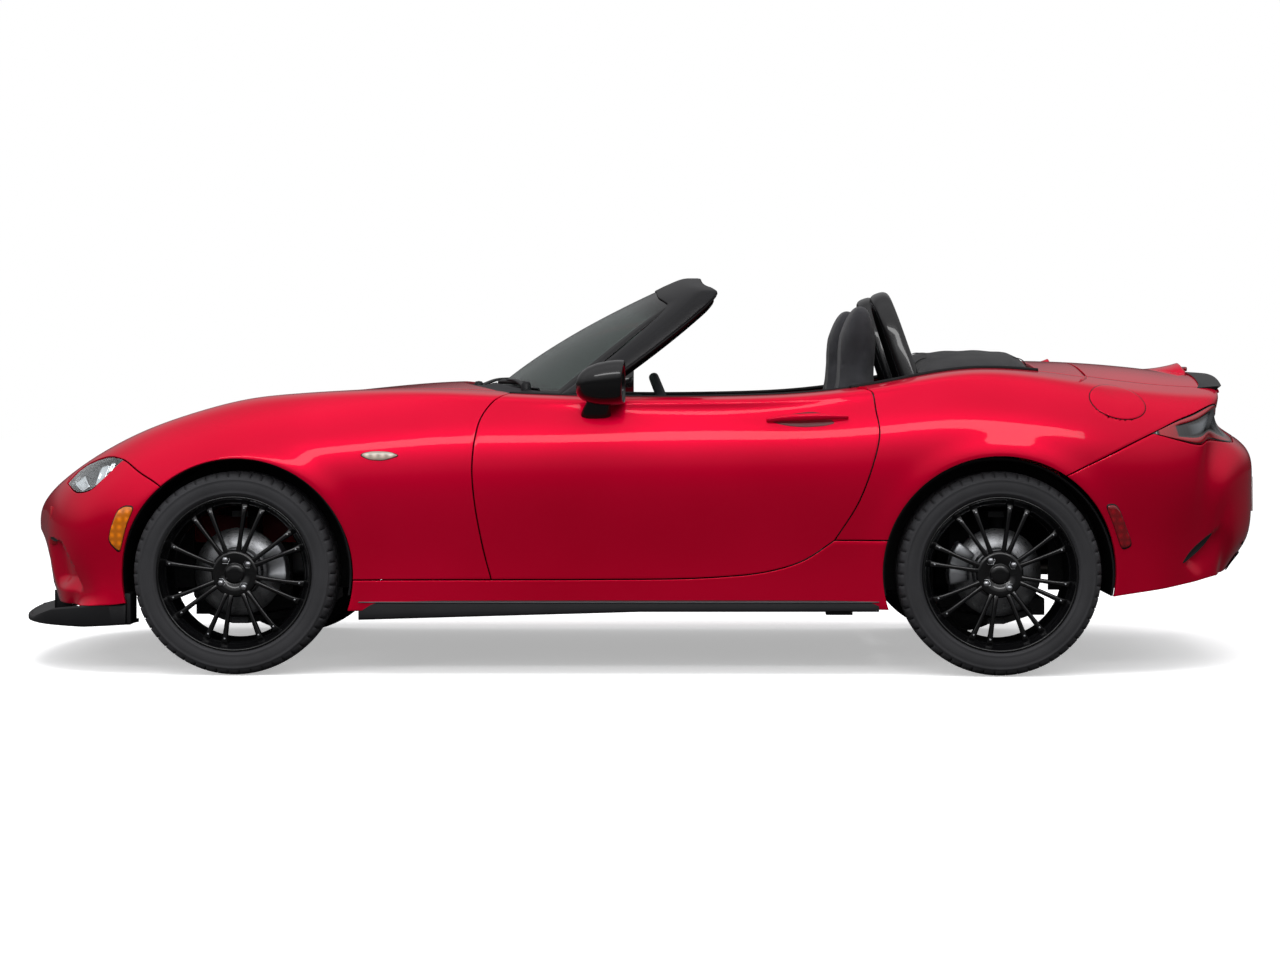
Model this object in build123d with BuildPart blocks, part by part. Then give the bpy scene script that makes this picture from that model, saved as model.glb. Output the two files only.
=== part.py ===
"""Two-seat open roadster, full size, in millimetres.

The car faces -X, its left side is -Y, Z is up and the ground is z = 0.
Every piece is cut from the same few driving dimensions and tables below.
"""

import math
import os

from build123d import *

# ---- driving dimensions -------------------------------------------------
WHEELBASE = 2310.0
TRACK_FRONT = 1495.0
TRACK_REAR = 1505.0
LENGTH = 3937.0
NOSE_TO_AXLE = 757.0
TYRE_R = 308.0
TYRE_W = 205.0
TYRE_SIDES = 36
RIM_SEAT_R = 216.0
RIM_FLANGE_R = 234.0
ARCH_R = 351.0
ARCH_Z = 305.0
LINER_T = 6.0
SKIN = 25.0
EDGE_SKIN = 4.0
LAMP_DEPTH = 55.0
GAP = 6.0
DOOR_GAP = 9.0
DOOR_INNER_Y = 704.0
DOOR_INSET = 30.0
CABIN_HALF_W = 694.0
FLOOR_HALF_W = 776.0
PLATE_Z = 225.0
HINGE_BACK = 90.0
HINGE_IN = 45.0
KINGPIN_Y = 700.0
PIN_PLAY = 0.05
HINGE_Z = (430.0, 720.0)
BONNET_PIN = (-395.0, 825.0)
BOOT_PIN = (1262.0, 866.0)
STUB_R = 31.0
FLAP_AT = (1460.0, -729.7, 836.4)
FLAP_PIN = (-96.0, -3.0)
DISC_R = 134.0
DISC_T = 22.0
SPOKE_PHASE = 29.0
MIRROR_Y = 959.0
ARM_LOW_Z = 148.0
ARM_LOW_T = 20.0
ARM_HIGH_Z = 474.0
ARM_HIGH_T = 18.0
BALL_GAP = 6.0
BALL_LOW_Z = 158.0
BALL_HIGH_Z = 486.0
TAILPIPE_Y = (430.0, 510.0)
DAMPER_Y = {"front": 535.0, "rear": 570.0}
JACK_X = (-700.0, 620.0)
JACK_Y = 720.0
JACK_Z = 178.0

X_FRONT = -LENGTH / 2 + NOSE_TO_AXLE
X_REAR = X_FRONT + WHEELBASE
AXLE_X = {"front": X_FRONT, "rear": X_REAR}
WHEEL_Y = {"front": TRACK_FRONT / 2, "rear": TRACK_REAR / 2}

# Half sections of the body, front to back.  Columns: axle the station hangs
# on, distance from it, height and half-width of the lower edge, half-width
# and height of the widest point, half-width and height of the shoulder
# crest, height on the centre line.
STATIONS = [
    ("front", -735, 395, 210, 250, 455, 215, 486, 497),
    ("front", -712, 330, 420, 470, 440, 410, 500, 516),
    ("front", -670, 230, 570, 630, 430, 440, 528, 541),
    ("front", -600, 192, 690, 730, 430, 455, 573, 584),
    ("front", -440, 185, 785, 815, 470, 490, 670, 668),
    ("front", -240, 188, 826, 852, 540, 545, 762, 748),
    ("front", 0, 190, 838, 865, 565, 600, 830, 812),
    ("front", 310, 190, 833, 858, 560, 650, 852, 860),
    ("front", 610, 192, 822, 845, 560, 705, 860, 884),
    ("front", 1110, 194, 812, 840, 560, 762, 843, 882),
    ("rear", -650, 196, 815, 846, 570, 765, 846, 892),
    ("rear", -300, 200, 830, 862, 590, 745, 892, 930),
    ("rear", 0, 206, 838, 867.5, 605, 708, 922, 952),
    ("rear", 300, 226, 822, 850, 600, 668, 888, 948),
    ("rear", 550, 250, 765, 800, 595, 620, 862, 915),
    ("rear", 690, 285, 690, 742, 580, 560, 850, 880),
    ("rear", 737, 300, 640, 705, 570, 520, 772, 800),
    ("rear", 800, 335, 560, 640, 560, 470, 706, 722),
    ("rear", 850, 395, 430, 500, 550, 380, 672, 684),
    ("rear", 870, 430, 250, 290, 540, 230, 640, 652),
]
LAST = len(STATIONS) - 1

# Side outlines (x, z) and plan outlines (x, y) that the panels are cut on.
DOOR_FRONT = [(-404, 900), (-470, 772), (-492, 621), (-485, 450), (-432, 289)]
DOOR_LOW = [(256, 299), (460, 330), (601, 412)]
DOOR_BACK = [(601, 412), (690, 570), (738, 742), (724, 812), (640, 910)]
LAMP_SIDE = [
    (-1762, 578),
    (-1664, 554),
    (-1559, 652),
    (-1585, 690),
    (-1660, 690),
    (-1711, 632),
]
TAIL_SIDE = [
    (1563, 732),
    (1636, 711),
    (1790, 708),
    (1900, 722),
    (1900, 790),
    (1812, 804),
    (1707, 795),
]
NOSE_SPLIT = [(-1563, 652), (-1433, 576), (-1290, 505)]
TAIL_SPLIT = [(1300, 600), (1362, 637), (1563, 732)]

PARTS = {}


def keep(name, shape):
    """Label a finished piece and hold it for writing."""
    shape.label = name
    PARTS[name] = shape


def bulge(p, q, share):
    """Point beside the middle of p-q, off to the right by share of it."""
    mx, my = (p[0] + q[0]) / 2, (p[1] + q[1]) / 2
    return (mx + (q[1] - p[1]) * share, my - (q[0] - p[0]) * share)


def station(row, inset):
    """One closed body section, drawn smaller all round by inset."""
    axle, dx, zl, yl, yw, zw, yc, zc, zm = STATIONS[row]
    x = AXLE_X[axle] + dx
    if row == 0:
        x += inset
    if row == LAST:
        x -= inset
    slim = inset if 0 < row < LAST else inset * 0.8
    low = (yl - slim, zl + inset)
    wide = (yw - slim, zw)
    crest = (yc - slim * 0.8, zc - inset)
    side = bulge(low, wide, 0.05)
    shoulder = bulge(wide, crest, 0.15)
    with BuildSketch(Plane.YZ.offset(x)) as sk:
        with BuildLine():
            Line((-low[0], low[1]), low)
            ThreePointArc(low, side, wide)
            ThreePointArc(wide, shoulder, crest)
            ThreePointArc(crest, (0, zm - inset), (-crest[0], crest[1]))
            ThreePointArc(
                (-crest[0], crest[1]), (-shoulder[0], shoulder[1]), (-wide[0], wide[1])
            )
            ThreePointArc(
                (-wide[0], wide[1]), (-side[0], side[1]), (-low[0], low[1])
            )
        make_face()
    return sk.sketch


def body_loft(inset, ends=0):
    """The body as one solid, drawn smaller by inset, without its end stations."""
    rows = [station(i, inset) for i in range(ends, LAST + 1 - ends)]
    with BuildPart() as b:
        loft(rows, ruled=True)
    return b.part


def side_prism(points, y0=-1000.0, y1=1000.0, grow=0.0):
    """Solid over a closed (x, z) outline between two y planes."""
    with BuildPart() as b:
        with BuildSketch(Plane.XZ.offset(-y1)):
            with BuildLine():
                Polyline(*points, close=True)
            make_face()
            if grow:
                offset(amount=grow, kind=Kind.INTERSECTION)
        extrude(amount=y1 - y0)
    return b.part


def plan_prism(points, z0, z1, grow=0.0):
    """Solid over a closed (x, y) outline between two heights."""
    with BuildPart() as b:
        with BuildSketch(Plane.XY.offset(z0)):
            with BuildLine():
                Polyline(*points, close=True)
            make_face()
            if grow:
                offset(amount=grow, kind=Kind.INTERSECTION)
        extrude(amount=z1 - z0)
    return b.part


def block(x0, x1, y0, y1, z0, z1, edge=0.0):
    """Box between limits, its upright and level edges rounded by edge."""
    with BuildPart() as b:
        with Locations(((x0 + x1) / 2, (y0 + y1) / 2, (z0 + z1) / 2)):
            Box(x1 - x0, y1 - y0, z1 - z0)
        if edge:
            fillet(b.edges(), edge)
    return b.part


def rod(p, q, r):
    """Round bar from p to q."""
    axis = Vector(*q) - Vector(*p)
    with BuildPart() as b:
        with BuildSketch(Plane(origin=p, z_dir=axis)):
            Circle(r)
        extrude(amount=axis.length)
    return b.part


def fuse(shapes):
    """One piece made of several that meet or stand apart."""
    with BuildPart() as b:
        for s in shapes:
            add(s)
    return b.part


def cut(shape, tools):
    """Shape with each tool taken away."""
    with BuildPart() as b:
        add(shape)
        for t in tools:
            add(t, mode=Mode.SUBTRACT)
    return b.part


def common(shape, tool):
    """The part of shape inside tool."""
    with BuildPart() as b:
        add(shape)
        add(tool, mode=Mode.INTERSECT)
    return b.part


def both_sides(shape):
    """Shape and its mirror image across the middle of the car."""
    return fuse([shape, mirror(shape, about=Plane.XZ)])


def arch_cylinder(axle, radius, y0, y1):
    """Cylinder across the car on the arch centre, between two y planes."""
    with BuildPart() as b:
        with BuildSketch(Plane.XZ.offset(-y1)):
            with Locations((AXLE_X[axle], ARCH_Z)):
                Circle(radius)
        extrude(amount=y1 - y0)
    return b.part


def door_prism(grow, y0, y1):
    """Solid over the door outline, grown by grow, between two y planes."""
    f, b_, low = DOOR_FRONT, DOOR_BACK, DOOR_LOW
    with BuildPart() as b:
        with BuildSketch(Plane.XZ.offset(-y1)):
            with BuildLine():
                ThreePointArc(f[0], f[1], f[2])
                ThreePointArc(f[2], f[3], f[4])
                Line(f[4], low[0])
                ThreePointArc(low[0], low[1], low[2])
                ThreePointArc(b_[0], b_[1], b_[2])
                ThreePointArc(b_[2], b_[3], b_[4])
                Line(b_[4], f[0])
            make_face()
            offset(amount=grow)
        extrude(amount=y1 - y0)
    return b.part


def hood_prism(grow):
    """Solid over the bonnet outline in plan, grown by grow."""
    with BuildPart() as b:
        with BuildSketch(Plane.XY.offset(420)):
            with BuildLine():
                ThreePointArc((-428, -640), (-580, 0), (-428, 640))
                ThreePointArc((-428, 640), (-1211, 585), (-1700, 478))
                ThreePointArc((-1700, 478), (-1866, 0), (-1700, -478))
                ThreePointArc((-1700, -478), (-1211, -585), (-428, -640))
            make_face()
            offset(amount=grow)
        extrude(amount=700)
    return b.part


def cowl_prism():
    """Solid over the scuttle in plan, from the bonnet to the cabin."""
    w = CABIN_HALF_W
    with BuildPart() as b:
        with BuildSketch(Plane.XY.offset(700)):
            with BuildLine():
                ThreePointArc((-390, -w), (-572, 0), (-390, w))
                Line((-390, w), (-110, w))
                ThreePointArc((-110, w), (-415, 0), (-110, -w))
                Line((-110, -w), (-390, -w))
            make_face()
        extrude(amount=300)
    return b.part


def boot_prism(grow):
    """Solid over the boot lid outline in plan, grown by grow."""
    pts = [(1390, -575), (1390, 575), (1640, 560), (1990, 450), (1990, -450), (1640, -560)]
    return plan_prism(pts, 712 - grow, 1100, grow)


def thinned(shape, x0, x1):
    """Shape with only its outermost few millimetres left between x0 and x1."""
    return cut(shape, [common(thin, block(x0, x1, -640, 640, 600, 1100))])


# ---- body shell ----------------------------------------------------------
outer = body_loft(0)
inner = body_loft(SKIN)
thin = body_loft(EDGE_SKIN)
arches = [arch_cylinder(a, ARCH_R, -1000, 1000) for a in AXLE_X]
shell = cut(outer, [inner, *arches])

hood_cut = hood_prism(GAP / 2)
lamp_cut = both_sides(side_prism(LAMP_SIDE, -900, -440, GAP / 2))
tail_cut = both_sides(side_prism(TAIL_SIDE, -900, -470, GAP / 2))
boot_cut = boot_prism(GAP / 2)
door_cut = door_prism(DOOR_GAP / 2, -1000, 1000)
cabin_cut = plan_prism([(-700, -700), (1243, -700), (1243, 700), (-700, 700)], 600, 1200)

# ---- front ---------------------------------------------------------------
h = GAP / 2
ns = NOSE_SPLIT
bumper_side = [
    (-2100, 90),
    (-1250, 90),
    (ns[2][0], ns[2][1] - h),
    (ns[1][0], ns[1][1] - h),
    (ns[0][0] - h, ns[0][1] - h),
    (-1640, 700),
    (-2100, 700),
]
front_bumper = common(shell, side_prism(bumper_side))
with BuildPart() as mouth:
    with BuildSketch(Plane.YZ.offset(-2100)):
        with Locations((0, 322)):
            SlotOverall(880, 165)
    extrude(amount=300)
front_bumper = cut(front_bumper, [hood_cut, lamp_cut, mouth.part])
keep("front_bumper", front_bumper)

with BuildPart() as grille:
    with BuildSketch(Plane.YZ.offset(-1905)):
        with Locations((0, 322)):
            SlotOverall(930, 200)
    extrude(amount=40)
    add(inner, mode=Mode.INTERSECT)
keep("grille", grille.part)

px, pz = BONNET_PIN
neck = [(px - 12, pz + 6), (px + 8, pz + 8), (px + 10, pz - 10), (px - 62, pz - 74)]
neck += [(px - 84, pz - 60), (px - 120, 900), (px - 70, 900), (px - 62, pz - 46)]
hood_arm = side_prism(neck, -606, -592)
hood_arm = cut(hood_arm, [rod((px, -620, pz), (px, -580, pz), 6 + PIN_PLAY)])
hood_arms = common(both_sides(hood_arm), inner)
hood_skin = thinned(common(shell, hood_prism(-GAP / 2)), -470, -400)
keep("hood", fuse([hood_skin, hood_arms]))
deep = body_loft(LAMP_DEPTH, 1)
pod = cut(inner, [deep])
lamp_in = both_sides(side_prism(LAMP_SIDE, -900, -443, -GAP / 2))
lamp_pod = both_sides(side_prism(LAMP_SIDE, -900, -470, 12))
lens = cut(common(shell, lamp_in), [hood_cut])
keep("headlamps", fuse([lens, cut(common(pod, lamp_pod), [hood_cut])]))
cowl_corners = both_sides(block(-445, -396, -645, -600, 700, 1000))
cowl = cut(common(shell, cowl_prism()), [hood_cut, cowl_corners])
keep("cowl", thinned(cowl, -460, -370))

fender_side = [
    (-1637, 1000),
    (-1637, 704),
    (ns[0][0] + h, ns[0][1] + h),
    (ns[1][0], ns[1][1] + h),
    (ns[2][0], ns[2][1] + h),
    (-1000, 293),
    (-430, 293),
    (-395, 900),
    (-395, 1000),
]
behind = block(-585, -300, -1000, 1000, 150, 1000)
fenders = common(shell, side_prism(fender_side))
scuttle = plan_prism([(-600, -642), (-300, -697), (-300, 697), (-600, 642)], 600, 1100)
fenders = cut(fenders, [hood_cut, lamp_cut, scuttle, door_cut, common(thin, behind)])
keep("front_fenders", fenders)

HINGE_X = DOOR_FRONT[2][0] + HINGE_BACK
HINGE_Y = 845.0 - HINGE_IN

# ---- doors ---------------------------------------------------------------
skin_layer = cut(common(outer, door_prism(-DOOR_GAP / 2, -1000, 1000)), [inner])
core = common(inner, door_prism(-DOOR_GAP / 2 - DOOR_INSET, -1000, 1000))
for side, sign in (("left", -1), ("right", 1)):
    lo, hi = sorted((sign * DOOR_INNER_Y, sign * 1000))
    half = block(-700, 1000, lo, hi, 150, 1100)
    door = fuse([common(skin_layer, half), common(core, half)])
    pockets = []
    for z in HINGE_Z:
        well = Cylinder(118, 36).moved(Location((HINGE_X, sign * HINGE_Y, z)))
        lo, hi = sorted((sign * 600, sign * (HINGE_Y + 18)))
        pockets.append(common(well, block(-700, HINGE_X + 18, lo, hi, z - 20, z + 20)))
        bore = Cylinder(7 + PIN_PLAY, 92)
        pockets.append(bore.moved(Location((HINGE_X, sign * HINGE_Y, z))))
    keep("door_" + side, cut(door, pockets))

flap = Plane(origin=FLAP_AT, x_dir=(0.9823, 0.1267, -0.1374), z_dir=(0.187, -0.666, 0.7225))


def flap_disc(grow):
    """Elliptic plug through the quarter at the fuel flap."""
    with BuildPart() as b:
        with BuildSketch(flap):
            Ellipse(93 + grow, 72 + grow)
        extrude(amount=60, both=True)
    return b.part


def flap_block(x0, x1, y, z0, z1):
    """Box in the fuel flap's own frame, y either side of the middle."""
    return block(x0, x1, -y, y, z0, z1).moved(flap.location)


def flap_rod(y0, y1, r):
    """Round bar on the fuel flap's hinge line."""
    ends = [flap.from_local_coords((FLAP_PIN[0], y, FLAP_PIN[1])) for y in (y0, y1)]
    return rod(ends[0], ends[1], r)


# ---- sides and rear ------------------------------------------------------
sill_side = [(-900, 287), (-440, 287), (-420, 284), (250, 292), (400, 306), (520, 345)]
sill_side += [(620, 412), (760, 412), (760, 150), (-900, 150)]
sills = common(shell, side_prism(sill_side))
mid = block(-900, 800, -FLOOR_HALF_W, FLOOR_HALF_W, 150, 500)
keep("sills", cut(sills, [mid, door_cut]))

ts = TAIL_SPLIT
quarter_side = [
    (560, 1000),
    (560, 418),
    (800, 418),
    (1300, ts[0][1] + h),
    (ts[1][0], ts[1][1] + h),
    (ts[2][0], ts[2][1] + h),
    (1910, 735),
    (1910, 1000),
]
quarters = common(shell, side_prism(quarter_side))
quarters = cut(quarters, [cabin_cut, door_cut, tail_cut, boot_cut])
deck_side = plan_prism([(1243, -600), (1384, -600), (1384, 600), (1243, 600)], 700, 1100)
u, w = FLAP_PIN
notch = flap_block(u - 6, u + 6, 19, w - 7, 20)
quarters = cut(quarters, [flap_disc(GAP), deck_side, notch])
tongue = fuse([flap_block(u - 16, u, 6, w - 4, w + 3), flap_rod(-6, 6, 4)])
tongue = cut(tongue, [flap_block(-200, u - 12, 40, w + 2, 30)])
pin = fuse([tongue, flap_rod(-18, 18, 2)])
keep("rear_quarters", fuse([quarters, pin]))
ears = [flap_block(u, u + 16, 18, w - 4, w + 3), flap_rod(-18, 18, 4)]
fuel_lid = fuse([common(shell, flap_disc(0)), *ears])
inner_ear = flap_block(u - 6, u + 6, 6.3, w - 7, 20)
fuel_lid = cut(fuel_lid, [inner_ear, flap_rod(-20, 20, 2 + PIN_PLAY)])
keep("fuel_lid", fuel_lid)
deck_in = plan_prism([(1243, -600), (1384, -600), (1384, 600), (1243, 600)], 700, 1100)
keep("rear_deck", thinned(common(shell, deck_in), 1355, 1400))
bx, bz = BOOT_PIN
neck = [(-12, -6), (6, 12), (16, 2), (78, -114), (132, -72), (176, 90)]
neck += [(226, 90), (158, -106), (74, -150)]
boot_arm = side_prism([(bx + u, bz + w) for u, w in neck], -504, -490)
boot_arm = cut(boot_arm, [rod((bx, -520, bz), (bx, -470, bz), 6 + PIN_PLAY)])
boot_lid = cut(common(shell, boot_prism(-GAP / 2)), [tail_cut])
boot_lid = fuse([thinned(boot_lid, 1380, 1420), common(both_sides(boot_arm), inner)])
keep("boot_lid", boot_lid)
tail_in = both_sides(side_prism(TAIL_SIDE, -900, -473, -GAP / 2))
tail_pod = both_sides(side_prism(TAIL_SIDE, -900, -540, 10))
lens = cut(common(shell, tail_in), [boot_cut])
keep("tail_lamps", fuse([lens, cut(common(pod, tail_pod), [boot_cut])]))
rear_side = [
    (1250, 90),
    (1250, ts[0][1] - 40),
    (ts[0][0], ts[0][1] - h),
    (ts[1][0], ts[1][1] - h),
    (ts[2][0], ts[2][1] - h),
    (1700, 716),
    (2100, 716),
    (2100, 90),
]
rear_bumper = common(shell, side_prism(rear_side))
under = block(1400, 1800, -480, 600, 150, 330)
pipes = block(1760, 2000, TAILPIPE_Y[0] - 42, TAILPIPE_Y[1] + 42, 200, 345)
keep("rear_bumper", cut(rear_bumper, [boot_cut, tail_cut, under, pipes]))

# ---- structure -----------------------------------------------------------
front_wells = both_sides(arch_cylinder("front", ARCH_R, -1000, -462))
rear_wells = both_sides(arch_cylinder("rear", ARCH_R, -1000, -530))
floor_blocks = [
    block(-860, 760, -FLOOR_HALF_W, FLOOR_HALF_W, 180, PLATE_Z),
    block(-440, 790, -130, 130, 217, 420),
    both_sides(block(-440, 740, -FLOOR_HALF_W, -690, 217, 280)),
]
bulkhead_blocks = [
    block(-465, -440, -672, 672, PLATE_Z, 900),
    both_sides(block(-612, -588, -900, -600, PLATE_Z, 900)),
    both_sides(block(-600, -470, -724, -660, PLATE_Z, 900)),
    both_sides(block(-475, -440, -690, -655, PLATE_Z, 900)),
    both_sides(block(-1810, -440, -444, -374, 380, 466)),
    block(-1830, -1800, -900, 900, 380, 500),
]
tub_blocks = [
    block(790, 815, -900, 900, 217, 792),
    block(790, 1240, -640, 640, 767, 792),
    block(1215, 1240, -640, 640, 660, 792),
    block(1215, 1470, -560, 560, 660, 680),
    block(1455, 1475, -560, 560, 380, 680),
    block(1455, 1890, -520, 520, 380, 400),
    block(1870, 1890, -520, 520, 380, 700),
    both_sides(block(1455, 1890, -540, -520, 380, 800)),
    common(both_sides(block(1760, 1780, -900, -520, 360, 690)), deep),
]
tunnel = block(-520, 880, -105, 105, 180, 400)
firewall_slots = both_sides(block(-480, -430, -612, -584, 735, 900))
px, pz = BONNET_PIN
bonnet_lugs = both_sides(block(-445, px + 14, -632, -618, pz - 16, pz + 7))
bonnet_pins = both_sides(rod((px, -630, pz), (px, -590, pz), 6))
door_lugs = []
for z in HINGE_Z:
    lug_plan = [(-14, 6), (12, 12), (12, -12), (2, -95), (-78, -95), (-78, -78), (-18, -76)]
    lug = plan_prism([(HINGE_X + u, -HINGE_Y - w) for u, w in lug_plan], z - 12, z + 12)
    pin = Cylinder(7, 90).moved(Location((HINGE_X, -HINGE_Y, z)))
    door_lugs.append(both_sides(fuse([lug, pin])))
bx, bz = BOOT_PIN
boot_lugs = both_sides(block(bx - 24, bx + 14, -522, -508, 690, bz + 12))
boot_pins = both_sides(rod((bx, -520, bz), (bx, -484, bz), 6))
boot_feet = both_sides(block(1228, bx + 14, -522, -508, 660, 700))

floor_plate = common(outer, block(-860, 760, -FLOOR_HALF_W, FLOOR_HALF_W, 150, PLATE_Z))
with BuildPart() as pan:
    add(common(fuse(floor_blocks), inner))
    add(floor_plate)
    for tool in (front_wells, rear_wells, tunnel):
        add(tool, mode=Mode.SUBTRACT)
    with Locations(*[(x, y, 190) for x in JACK_X for y in (-JACK_Y, JACK_Y)]):
        Box(80, 60, 2 * (190 - JACK_Z))
keep("floor_pan", pan.part)
walls = common(fuse(bulkhead_blocks), inner)
walls = cut(walls, [front_wells, firewall_slots, tunnel])
keep("bulkhead", fuse([walls, bonnet_lugs, bonnet_pins, *door_lugs]))
tub = cut(common(fuse(tub_blocks), inner), [rear_wells, tunnel])
keep("boot_tub", fuse([tub, boot_lugs, boot_pins, boot_feet]))

liners = []
for axle, y_in in (("front", 466), ("rear", 534)):
    x = AXLE_X[axle]
    with BuildPart() as liner:
        with BuildSketch(Plane.XZ.offset(y_in)):
            with Locations((x, ARCH_Z)):
                Circle(ARCH_R)
                Circle(ARCH_R - LINER_T, mode=Mode.SUBTRACT)
        extrude(amount=790 - y_in)
        with BuildSketch(Plane.XZ.offset(y_in)):
            with Locations((x, ARCH_Z)):
                Circle(ARCH_R - 1)
        extrude(amount=LINER_T)
        with Locations((x, -700, 90)):
            Box(900, 700, 300, mode=Mode.SUBTRACT)
        with Locations((x, -500, 320)):
            Box(360, 200, 400, mode=Mode.SUBTRACT)
    liners.append(both_sides(liner.part))
keep("arch_liners", fuse(liners))

skirt = side_prism([(-838, 166), (15, 180), (735, 184), (735, 230), (-838, 230)], -836, -792)
keep("side_skirts", both_sides(cut(skirt, [outer])))

with BuildPart() as splitter:
    with BuildSketch(Plane.XY.offset(139)):
        with BuildLine():
            ThreePointArc((-1640, -790), (-1968.5, 0), (-1640, 790))
            ThreePointArc((-1640, 790), (-1860, 0), (-1640, -790))
        make_face()
    extrude(amount=16)
    with Locations(*[(-1800 + 30, y, 170) for y in (-560, -330, 330, 560)]):
        Box(110, 8, 60)
    add(outer, mode=Mode.SUBTRACT)
keep("front_splitter", splitter.part)

# ---- glass and top -------------------------------------------------------
# Windscreen: height, x at the centre, x and half-width at the post.
SCREEN = [(820, -533, -222, 676), (1060, -196, 80, 566), (1240, 178, 262, 474)]


def screen_loft(front, back):
    """Curved slab between two x offsets from the screen's face."""
    sections = []
    for z, xm, xe, ye in SCREEN:
        with BuildSketch(Plane.XY.offset(z)) as sk:
            with BuildLine():
                ThreePointArc((xe + front, -ye), (xm + front, 0), (xe + front, ye))
                Line((xe + front, ye), (xe + back, ye))
                ThreePointArc((xe + back, ye), (xm + back, 0), (xe + back, -ye))
                Line((xe + back, -ye), (xe + front, -ye))
            make_face()
        sections.append(sk.sketch)
    with BuildPart() as b:
        loft(sections)
    return b.part


def arch_window(post, head, low):
    """Prism through the screen opening, inside posts and header."""
    with BuildPart() as b:
        with BuildSketch(Plane.YZ.offset(-900)):
            with BuildLine():
                a, c = (676 - post, low), (500 - post, 1165 - head)
                Line((-a[0], a[1]), a)
                Line(a, c)
                ThreePointArc(c, (0, 1226 - head), (-c[0], c[1]))
                Line((-c[0], c[1]), (-a[0], a[1]))
            make_face()
        extrude(amount=1500)
    return b.part


opening = arch_window(46, 42, 800)
outline = arch_window(-30, 0, 700)
keep("windscreen", cut(common(screen_loft(16, 28), opening), [outer]))
frame = common(screen_loft(0, 66), outline)
keep("windscreen_frame", cut(frame, [opening, outer]))

top_side = [(926, 792), (866, 966), (880, 979), (1057, 986), (1180, 981), (1232, 950)]
top_side += [(1237, 792)]
keep("soft_top", side_prism(top_side, -592, 592))

hoop_plane = Plane(origin=(892, 0, 780), x_dir=(0, 1, 0), z_dir=(0.947, 0, 0.32))
hoops = []
for yc in (-350, 350):
    with BuildPart() as hoop:
        with BuildSketch(hoop_plane):
            with BuildLine():
                Polyline((yc - 185, 0), (yc - 135, 310), (yc - 95, 392), (yc + 95, 392))
                Polyline((yc + 95, 392), (yc + 135, 310), (yc + 185, 0), (yc - 185, 0))
            make_face()
            with BuildLine():
                Polyline((yc - 140, -5), (yc - 98, 300), (yc - 78, 345), (yc + 78, 345))
                Polyline((yc + 78, 345), (yc + 98, 300), (yc + 140, -5), (yc - 140, -5))
            make_face(mode=Mode.SUBTRACT)
        extrude(amount=27, both=True)
    hoops.append(hoop.part)
keep("roll_hoops", cut(fuse(hoops), [PARTS["soft_top"], PARTS["boot_tub"]]))

# ---- wheels --------------------------------------------------------------
def wheel_plane(axle, sign):
    """Wheel frame: origin at the centre, z pointing out of the car."""
    return Plane(
        origin=(AXLE_X[axle], sign * WHEEL_Y[axle], TYRE_R),
        x_dir=(1, 0, 0),
        z_dir=(0, sign, 0),
    )


def tyre_slab(w0, r0, w1, r1):
    """Many-sided slab across the tyre, from the wider ring r0 to r1."""
    flat = math.cos(math.pi / TYRE_SIDES)
    depth = abs(w1 - w0)
    with BuildPart() as b:
        with BuildSketch(Plane.XY):
            RegularPolygon(r0, TYRE_SIDES)
        extrude(amount=depth, taper=math.degrees(math.atan2((r0 - r1) * flat, depth)))
    slab = b.part if w1 > w0 else mirror(b.part, about=Plane.XY)
    return slab.moved(Location((0, 0, w0)))


outside = [tyre_slab(0, TYRE_R, 78, 305), tyre_slab(78, 305, 95, 292)]
outside.append(tyre_slab(95, 292, 102.5, 266))
cavity = fuse([tyre_slab(0, 292, 76, 292), tyre_slab(76, 292, 88, 262)])
cavity = cut(cavity, [tyre_slab(88, 262, 70, 217)])
cones = [tyre_slab(102.5, 266, 95, 240), tyre_slab(95, 240, 86, 234)]
cones.append(tyre_slab(86, 234, 83, 217))
half_tyre = cut(fuse(outside), [cavity, tyre_slab(0, 217, 83, 217), *cones])
tyre = fuse([half_tyre, mirror(half_tyre, about=Plane.XY)])

with BuildPart() as rim:
    with BuildSketch(Plane.XZ):
        with BuildLine():
            Polyline((RIM_FLANGE_R, 96), (RIM_FLANGE_R, 88), (RIM_SEAT_R, 84))
            Polyline((RIM_SEAT_R, 84), (RIM_SEAT_R, 62), (205, 40), (205, -20))
            Polyline((205, -20), (RIM_SEAT_R, -60), (RIM_SEAT_R, -84))
            Polyline((RIM_SEAT_R, -84), (RIM_FLANGE_R, -88), (RIM_FLANGE_R, -96))
            Polyline((RIM_FLANGE_R, -96), (210, -90), (208, -62), (197, -22), (197, 42))
            Polyline((197, 42), (208, 66), (210, 88), (RIM_FLANGE_R, 96))
        make_face()
    revolve(axis=Axis.Z)
    with BuildSketch(Plane.XY.offset(60)):
        for k in range(16):
            mid_angle = SPOKE_PHASE + 45 * (k // 2)
            lean = 7.5 if k % 2 else -7.5
            tip = math.radians(mid_angle + lean)
            root = math.radians(mid_angle + lean * 0.9)
            tx, ty = 207 * math.cos(tip), 207 * math.sin(tip)
            rx, ry = 58 * math.cos(root), 58 * math.sin(root)
            dx, dy = -math.sin(tip) * 6.5, math.cos(tip) * 6.5
            with BuildLine():
                Polyline(
                    (rx - dx, ry - dy),
                    (tx - dx, ty - dy),
                    (tx + dx, ty + dy),
                    (rx + dx, ry + dy),
                    close=True,
                )
            make_face()
    extrude(amount=24)
    with BuildSketch(Plane.XY.offset(45)):
        Circle(72)
    extrude(amount=34)
    with BuildSketch(Plane.XY.offset(40)):
        Circle(STUB_R)
    extrude(amount=34, mode=Mode.SUBTRACT)

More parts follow.
